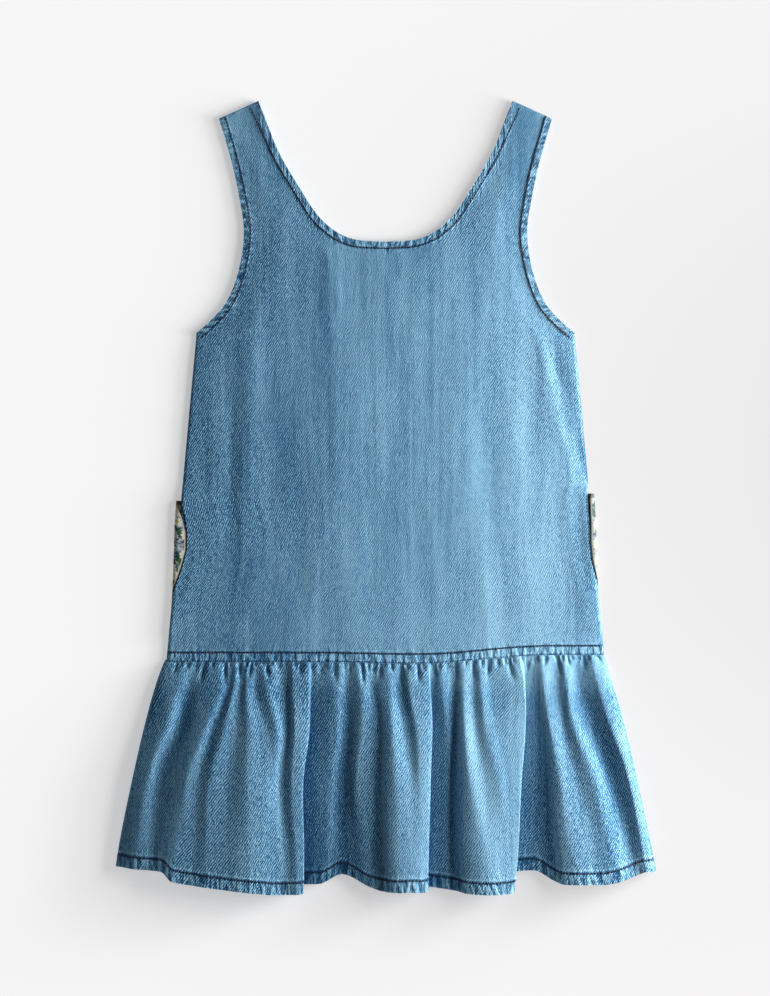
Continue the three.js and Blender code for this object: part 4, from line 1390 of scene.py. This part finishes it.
# Folds of the back skirt from left to right, crests, dents and rolled edges: the place across at the
# seam and at five levels below it, the height at those five levels, and where the hem ends there
FOLD_LEVELS = (0.0, 0.12, 0.30, 0.525, 0.80, 1.0)
BACK_FOLDS = np.array([
    (-194, -198.5, -210, -223.5, -232, -237, 8, 9, 10, 10, 9, -331),
    (-179.5, -187, -196.5, -211, -219, -223.5, 9, 12, 13.5, 14, 14, -333),
    (-170.5, -176, -184, -199.5, -207.5, -208.5, 6, 6.5, 8.5, 12, 14.5, -334),
    (-161.5, -165, -172.5, -187, -196, -200, 8, 11, 13.8, 16.5, 17.6, -335),
    (-143.5, -148, -161.5, -177, -184, -191, 9.5, 14, 17.5, 19.3, 20.2, -343.5),
    (-138, -141, -154, -167, -170.5, -175, 7, 11.3, 16.3, 19, 20.6, -346.5),
    (-133.5, -136.5, -145.5, -156, -160.5, -162.5, 9, 14.3, 19.4, 21, 21.6, -348.5),
    (-127.5, -130, -134.5, -141, -147, -147, 7, 12.7, 18.6, 21.1, 22, -350.5),
    (-121, -124, -122, -124.5, -125.5, -126.5, 9.5, 16, 21.7, 22.8, 23.2, -353),
    (-115.5, -116.5, -109.5, -111, -111, -111, 7, 14, 20.2, 21, 21.5, -354.5),
    (-106.5, -106, -98.5, -102, -102, -101, 9.5, 15, 17.8, 18.6, 19.3, -355.5),
    (-88.5, -88, -86.5, -91.5, -88.5, -88, 5, 8.5, 13.4, 16, 17.5, -355.5),
    (-83, -83, -81.5, -84, -81.5, -80.5, 9.5, 14.5, 16.8, 17.3, 18.3, -355.5),
    (-70, -69, -69, -74, -74, -74.5, 9, 13, 15.8, 15.8, 17, -354),
    (-66, -67, -68, -73.5, -74, -75, 4.6, 4.6, 4.6, 4.6, 4.6, -347.5),
    (-42, -43, -43.5, -49, -54.5, -60, 8, 9, 8.2, 7.4, 7.2, -346.5),
    (-34.5, -34, -33, -37.5, -41, -40, 5, 4.8, 4.6, 4.8, 5.5, -338),
    (-23, -21, -21, -25, -19.5, -13, 9, 11, 10.4, 9.8, 10, -349.5),
    (-10.5, -10.5, -5, -4.5, -3, -2, 6, 8.5, 9.4, 9.4, 9.8, -353),
    (-4, -3, -0.5, 0.5, 2, 4, 8.5, 13.5, 17.5, 19, 19.5, -353),
    (3, 4, 6, 8.5, 12, 14, 9.5, 16, 20, 21.2, 21.8, -353.5),
    (13, 14, 20, 24, 23, 24, 5.5, 11, 17.6, 20.4, 21.3, -353),
    (21, 22, 28.5, 30, 30, 31, 9.5, 15, 18, 19.4, 20, -353.5),
    (37.5, 39, 41, 39.5, 38.5, 38, 8, 12.5, 15.5, 16.2, 17.2, -352),
    (41, 41, 41.5, 38.5, 37.5, 37.5, 4.8, 4.6, 4.6, 4.6, 4.6, -349),
    (50, 51, 54.5, 53.5, 53.5, 52.5, 8, 8.5, 7.2, 6.6, 6.6, -351),
    (61, 61.5, 62.5, 60, 61.5, 63.5, 4.8, 4.8, 4.6, 4.6, 5, -353),
    (65, 66, 67, 68, 70, 74, 7.5, 11.5, 15, 16.5, 17.5, -354.5),
    (70.5, 70.5, 71.5, 76, 87, 94, 9, 14, 18.5, 19.6, 20.6, -355.5),
    (79, 79, 81.5, 89.5, 95, 101, 7, 11.5, 16.3, 18.8, 19.8, -355.5),
    (85, 86, 90.5, 101, 104, 106.5, 9, 13.8, 17, 17.4, 18.6, -355),
    (93, 94, 100.5, 109.5, 111, 112, 7, 12.4, 15.6, 16.2, 17.2, -354.5),
    (120, 124, 125, 122, 118.5, 115, 8.5, 12, 14, 14.8, 15.2, -353),
    (124, 125.5, 125.5, 120.5, 117.5, 114.5, 4.6, 4.6, 4.6, 4.6, 4.6, -336.5),
    (131, 132, 133.5, 134.5, 134.5, 133, 5, 5, 4.8, 4.8, 5.5, -334.5),
    (135.5, 136.5, 140, 144.5, 149, 152.5, 6.5, 7.5, 8, 8.5, 9, -344),
    (138, 139, 143.5, 150, 156, 162.5, 8, 11, 14.5, 17, 17.8, -346.5),
    (141, 142, 147, 156, 165, 176, 9, 13, 17, 19, 20, -346.5),
    (151.5, 154.5, 160.5, 170.5, 186, 195, 6.5, 10, 14.5, 17, 18.2, -346.5),
    (159, 162.5, 169, 185, 197.5, 205.5, 9.5, 13.2, 17, 17.4, 18, -345),
    (171.5, 174, 186, 201, 217.5, 225.5, 5.5, 6.5, 7.2, 9, 11, -338.5),
    (184, 189.5, 198.5, 214.5, 227, 233.5, 9.5, 12.5, 13.5, 13.5, 13, -335.5),
], float)

# Small gathers under the seam: place across, how far down they run, and depth
GATHERS = [
    (-187, 14, 1.8), (-178, 10, 1.4), (-161.5, 22, 2.6), (-143.5, 26, 2.4), (-130, 18, 2.6),
    (-120, 20, 2.4), (-106.5, 18, 2.6), (-95, 10, 1.4), (-77, 16, 2.2), (-66, 12, 1.5), (-56, 14, 2.0),
    (-45.5, 20, 2.6), (-32, 12, 1.6), (-21, 24, 2.4), (-10.5, 12, 2.2), (-4, 20, 2.0), (5, 10, 1.4),
    (14, 22, 2.8), (30, 22, 2.6), (43.5, 16, 2.2), (55.5, 12, 1.6), (63.5, 20, 2.4), (79, 24, 2.4),
    (93, 18, 2.6), (101, 12, 1.4), (111, 26, 2.4), (127.5, 16, 2.2), (133.5, 10, 1.6), (143.5, 12, 1.6),
    (154.5, 26, 2.8), (163.5, 12, 1.6), (178, 16, 2.2), (191, 12, 1.8),
]


# The lowest crest a fold can have, and the lowest its cloth can lie with the front skirt under it
LOW_CREST = 4.6
LOWEST = 3.6

# Rows of the back skirt tucked under the seam, each as a step up and a height
TUCKED = ((2.0, 1.7), (0.3, 2.2))


@dataclass
class Skirt:
    """The gathered skirt: a deep-folded back half, and a front half pressed flat under it."""

    cut: Outline
    denim: bpy.types.Material
    stitcher: Stitcher
    step: float = 1.6
    seam_base: float = 3.5
    seam_high: float = 1.7
    side_z: float = 2.6
    length: float = 205.0
    hem_width: float = 13.0
    stitch_rise: float = 10.6
    front_folds: int = 26
    front_low: float = 0.7
    front_high: float = 2.2
    gather_reach: float = 0.24
    gather_depth: float = 1.8
    gather_width: float = 1.15
    gather_spread: float = 24.0

    def stations(self, t: Array) -> tuple[Array, Array, Array]:
        """Crests, dents and edges at shares of the skirt's length.

        Args:
            t: shares of the length, one for each row.

        Returns:
            Places across and heights, a row for each share, and the hem's height at each.
        """
        levels = np.array(FOLD_LEVELS)
        places, heights = BACK_FOLDS[:, :6], BACK_FOLDS[:, 6:11]
        at_seam = self.seam_base + self.seam_high * np.clip((heights[:, :1] - LOW_CREST) / 5, 0, 1)
        heights = np.concatenate([at_seam, heights], axis=1)
        x = np.stack([Curve(levels, row)(t) for row in places], axis=1)
        z = np.stack([Curve(levels, row)(t) for row in heights], axis=1)
        return x, z, BACK_FOLDS[:, 11]

    def rounded_side(self, side: Side, crest: tuple[Array, Array, float], t: Array,
                     q: Array) -> tuple[Array, Array, Array]:
        """The cloth between the outermost crest and the side seam.

        Args:
            side: which side.
            crest: the crest's place and height in each row, and its hem's height.
            t: the rows' shares of the length.
            q: shares of the way from the side seam to the crest.

        Returns:
            Places across, heights and hem heights.
        """
        crest_x, crest_z = crest[0][:, None], crest[1][:, None]
        y = lerp(self.cut.skirt_top_y(crest_x), crest[2], t[:, None])
        seam_x = side.value * (self.cut.skirt_side(side, y) - self.cut.cloth / 2)
        turn = q[None, :] * math.pi / 2
        z = lerp(self.side_z + self.cut.seam_gap / 2, crest_z, np.sin(turn))
        return lerp(seam_x, crest_x, 1 - np.cos(turn)), z, np.full(z.shape, crest[2])

    def back_grid(self) -> ClothGrid:
        """Return the back skirt."""
        hem = 1 - self.hem_width / self.length
        t = spaced([(0, 0.0045), (0.06, 0.0075), (0.2, 0.0115), (hem - 0.004, 0.004),
                    (hem + 0.004, 0.0055), (1.0, 1)])
        x, z, hem_y = self.stations(t)
        sides = np.linspace(0, 1, 11)
        left = self.rounded_side(Side.LEFT, (x[:, 0], z[:, 0], hem_y[0]), t, sides[:-1])
        right = self.rounded_side(Side.RIGHT, (x[:, -1], z[:, -1], hem_y[-1]), t, sides[::-1])
        chord = np.hypot(np.diff(x, axis=1), np.diff(z, axis=1))
        counts = np.ceil(chord.max(axis=0) / self.step).astype(int)
        middle = smooth_through(chord, counts, [x, z, np.broadcast_to(hem_y, x.shape)])
        x, z, hem_y = (np.concatenate(parts, axis=1) for parts in zip(left, middle, right))
        down = t[:, None]
        y = lerp(self.cut.skirt_top_y(x), hem_y, down)
        points, flat, band = self.refine(stacked(x, y, z), t)
        points[0, :, 1] -= 0.45
        under = [points[:1] * (1, 1, 0) + (0, rise, z) for rise, z in TUCKED]
        points = np.concatenate([*under, points])
        flat = np.concatenate([flat[:1] + (0, 3.5), flat[:1] + (0, 1.8), flat])
        band = np.concatenate([band[:1], band[:1], band])
        thickness = np.where(down > hem, self.cut.skirt_hem, self.cut.cloth) + 0 * x
        thickness = np.concatenate([thickness[:2], thickness])
        return ClothGrid(*(part[::-1] for part in (points, thickness, flat, band)))

    def refine(self, points: Array, t: Array) -> tuple[Array, Array, Array]:
        """Add the fine gathers and small unevenness, and work out where the cloth lies in its cut.

        Args:
            points: the grid, from the seam down.
            t: each row's share of the length.

        Returns:
            The points, their places in the cut, and their places along the hem.
        """
        around = arc_lengths(points[-1], 0)
        down = arc_lengths(points, 0)
        u = np.broadcast_to(around[None, :], down.shape)
        share = t[:, None]
        ends = smoothstep(u, 2, 16) * (1 - smoothstep(u, around[-1] - 16, around[-1] - 2))
        soft = Waviness(21, 26.0, 55.0, 0.35)
        drift = Waviness(22, 30.0, 60.0, 0.9)
        points[..., 2] += ends * smoothstep(share, 0.05, 0.3) * soft(u, down)
        along = self.along_cut(points)
        points[..., 2] += ends * self.gathers(points[0, :, 0], down)
        points[..., 0] += ends * smoothstep(share, 0.03, 0.2) * drift(u, down)
        points[..., 2] = np.maximum(points[..., 2], LOWEST)
        rise = (down[-1][None, :] - down) / self.stitch_rise
        return points, stacked(along, -down), stacked(u * MM, np.minimum(rise, BAND_LIMIT))

    def along_cut(self, points: Array) -> Array:
        """Return how far along its cut the cloth lies: between its own row's length and the mean one."""
        own = arc_lengths(points, 1)
        even = own.mean(axis=0)[None, :]
        return lerp(own - own[:, -1:] / 2, even - even[:, -1:] / 2, 0.5)

    def gathers(self, seam_x: Array, down: Array) -> Array:
        """Small gathers under the seam: narrow dents that run out, and puffs between them.

        Args:
            seam_x: each column's place at the seam.
            down: length of cloth from the seam.

        Returns:
            How much they raise the cloth.
        """
        raised = np.zeros_like(down)
        draw = np.random.default_rng(SEED + 30)
        small = [(x + draw.uniform(-1.5, 1.5), draw.uniform(5, 10), draw.uniform(1.0, 1.8))
                 for x in np.arange(-184, 190, 7.3)]
        for number, (x, run, depth) in enumerate(GATHERS + small):
            width = self.gather_width * (1 + down / self.gather_spread)
            lean = 0.09 * math.sin(2.4 * number)
            fade = smoothstep(down, 0.0, 1.6) * (1 - smoothstep(down, 0.2 * run, run))
            dent = self.gather_depth * depth * fade * bump_at(seam_x[None, :] - lean * down, x, width)
            raised = raised - dent
        puff = smoothstep(down, 0.0, 3.0) * (1 - smoothstep(down, 8, 30))
        return raised + 0.9 * puff

    def front_grid(self) -> ClothGrid:
        """Return the front skirt, in low even folds on the surface."""
        cut = self.cut
        t = np.linspace(0, 1, 40)[:, None]
        high = lerp(self.front_low, self.front_high, smoothstep(t, 0, self.gather_reach))

        def y_at(x: Array, share: Array) -> Array:
            return lerp(cut.skirt_top_y(x), -327 - 5 * (1 - share * share), t)

        def reach(side: Side) -> Array:
            y = y_at(np.array([[side.value * cut.waist[0]]]), 1.0)
            return cut.skirt_side(side, y) - cut.cloth / 2

        def rounded(side: Side, q: Array) -> tuple[Array, Array, Array]:
            turn = q[None, :] * math.pi / 2
            x = side.value * (reach(side) - 4 * (1 - np.cos(turn)))
            z = lerp(self.side_z - cut.seam_gap / 2, cut.front_z, np.sin(turn))
            return x, y_at(x, 1.0), np.broadcast_to(z, x.shape)

        share = np.linspace(0, 1, self.front_folds * 8 + 1)[None, :]
        stray = 2 * np.sin(7.3 * math.pi * share) * np.sin(math.pi * share)
        x = lerp(4 - reach(Side.LEFT), reach(Side.RIGHT) - 4, share) + stray
        wave = (1 - np.cos(2 * math.pi * self.front_folds * share)) / 2
        middle = (x, y_at(x, 2 * share - 1), cut.front_z + high * wave)
        turns = np.linspace(0, 1, 7)[:-1]
        parts = (rounded(Side.LEFT, turns), middle, rounded(Side.RIGHT, turns[::-1]))
        points = stacked(*(np.concatenate(part, axis=1) for part in zip(*parts)))
        around = arc_lengths(points[-1], 0)
        down = arc_lengths(points, 0)
        rise = (down[-1][None, :] - down) / self.stitch_rise
        parts = (points, np.full(points.shape[:2], cut.cloth), stacked(around - around[-1] / 2, -down),
                 stacked(around * MM + 3.0, np.minimum(rise, BAND_LIMIT)))
        return ClothGrid(*(part[::-1] for part in parts))

    def hem_stitches(self, grid: ClothGrid) -> bpy.types.Object:
        """Sew the back hem and return its stitches."""
        across = grid.band[..., 1]
        normals = grid.normals()
        path, facing = [], []
        for j in range(4, grid.points.shape[1] - 4):
            i = int(np.argmax(across[:, j] >= 1.0))
            share = (1.0 - across[i - 1, j]) / (across[i, j] - across[i - 1, j])
            normal = lerp(normals[i - 1, j], normals[i, j], share)
            point = lerp(grid.points[i - 1, j], grid.points[i, j], share)
            path.append(point + normal * (self.cut.skirt_hem / 2 + THREAD_LIFT))
            facing.append(normal)
        return self.stitcher.lay("stitches_skirt_hem", np.array(path), np.array(facing))

    def build(self) -> None:
        """Make both halves and the hem's stitching."""
        back = self.back_grid()
        width = float(arc_lengths(back.points[0], 0)[-1]) * MM
        LOG.info("back skirt area %.4f m2, hem %.3f m", back.area(), width)
        cloth = self.cut.cloth
        obj = cloth_piece("back_skirt_cloth", back, (cloth, self.cut.skirt_hem), self.denim, Slot.DENIM)
        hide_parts("back_skirt")
        self.hem_stitches(back)
        front = self.front_grid()
        width = float(np.ptp(front.cut[..., 0])) * MM
        LOG.info("front skirt area %.4f m2, hem %.3f m", front.area(), width)
        obj = cloth_piece("front_skirt_cloth", front, (cloth, cloth), self.denim, Slot.DENIM)
        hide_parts("front_skirt")


# The studio


@dataclass(frozen=True)
class Lamp:
    """A square soft light that faces the dress: where it hangs, its side and its power in watts."""

    name: str
    place: tuple[float, float, float]
    size: float
    power: float


@dataclass
class Studio:
    """A pale floor, soft light mainly from the right, and the camera straight above."""

    view_height: float = 0.8964
    camera_height: float = 3.4
    centre: tuple[float, float] = (-0.00045, 0.0)
    sensor: float = 36.0
    lamps: tuple[Lamp, ...] = (Lamp("key", (0.95, 0.07, 0.40), 0.75, 16.2),
                               Lamp("low_key", (0.95, 0.07, 0.16), 0.30, 14.0))
    lamp_share: float = 0.94
    sky: float = 0.165
    sight: float = 50.0
    floor_size: float = 12.0
    floor_z: float = -0.0004
    floor_shade: float = 0.93
    floor_tint: tuple[float, float, float, float] = (1.0, 0.984, 0.984, 1.0)
    sky_tint: tuple[float, float, float, float] = (0.95, 1.0, 1.03, 1.0)
    floor_paint: tuple[float, float] = (0.90, 0.20)
    floor_reach: tuple[float, float] = (-0.32, 0.40)

    def floor(self) -> None:
        """Lay the floor."""
        bpy.ops.object.select_all(action="DESELECT")
        bpy.ops.mesh.primitive_plane_add(size=self.floor_size, location=(0, 0, self.floor_z))
        plane = bpy.context.object
        plane.name = "floor"
        bench = NodeBench("pale_floor")
        place = bench.place()
        paint = bench.ramp(bench.split(place)[0], *self.floor_reach, *self.floor_paint)
        colour = bench.node("ShaderNodeCombineColor", Red=paint, Green=paint, Blue=paint)
        light = bench.total(*(self.lamp_light(bench, place, lamp) for lamp in self.lamps), self.sky)
        glow = bench.math("SUBTRACT", self.floor_shade, bench.times(paint, light))
        plane.data.materials.append(bench.finish(
            Base_Color=colour.outputs["Color"], Emission_Color=self.floor_tint,
            Emission_Strength=bench.math("MAXIMUM", glow, 0.0), Roughness=0.95, Specular_IOR_Level=0.0))

    def lamp_light(self, bench: NodeBench, place: Socket, lamp: Lamp) -> Socket:
        """Work out a lamp's light on the floor, so that the floor's own glow can level it.

        Args:
            bench: the floor's material.
            place: the floor's coordinates.
            lamp: the lamp.

        Returns:
            The light, as the shade of a white floor.
        """
        reach = math.hypot(*lamp.place)
        away = bench.vector_math("DISTANCE", place, lamp.place).outputs["Value"]
        towards = tuple(-part / reach for part in lamp.place)
        facing = bench.vector_math("DOT_PRODUCT", place, towards).outputs["Value"]
        strength = self.lamp_share * lamp.power * lamp.place[2] / math.pi**2
        return bench.math("DIVIDE", bench.times(bench.total(facing, reach), strength),
                          bench.math("POWER", away, 4.0))

    def light(self) -> None:
        """Set the soft light."""
        world = bpy.data.worlds.new("studio")
        world.use_nodes = True
        background = world.node_tree.nodes["Background"]
        background.inputs["Color"].default_value = self.sky_tint
        background.inputs["Strength"].default_value = self.sky
        bpy.context.scene.world = world
        bpy.context.scene.view_settings.view_transform = "Standard"
        for lamp in self.lamps:
            self.hang(lamp)

    def hang(self, lamp: Lamp) -> None:
        """Hang a lamp, turned to the dress."""
        data = bpy.data.lights.new(lamp.name, "AREA")
        data.energy = lamp.power
        data.size = lamp.size
        obj = in_scene(lamp.name, data)
        x, y, z = lamp.place
        obj.location = lamp.place
        obj.rotation_euler = (math.acos(z / math.hypot(x, y, z)), 0, math.atan2(y, x) + math.pi / 2)

    def camera(self) -> None:
        """Hang the camera straight above the dress."""
        data = bpy.data.cameras.new("camera")
        data.sensor_fit = "AUTO"
        data.sensor_width = self.sensor
        data.lens = self.sensor * self.camera_height / self.view_height
        data.clip_end = self.sight
        camera = in_scene("camera", data)
        camera.location = (*self.centre, self.camera_height)
        bpy.context.scene.camera = camera

    def build(self) -> None:
        """Set up the studio."""
        self.camera()
        self.floor()
        self.light()


def main() -> None:
    """Build the dress and the studio."""
    logging.basicConfig(level=logging.INFO, format="%(message)s")
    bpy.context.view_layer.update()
    Studio().build()
    layers = Layers(Outline(), PocketCut())
    denim = DenimFinish().build()
    stitcher = Stitcher(ThreadFinish().build())
    Body(layers, denim, stitcher).build()
    cotton = PrintFinish().build()
    for side in Side:
        Pocket(side, layers, cotton).build()
    Skirt(layers.cut, denim, stitcher).build()


if __name__ == "__main__":
    main()
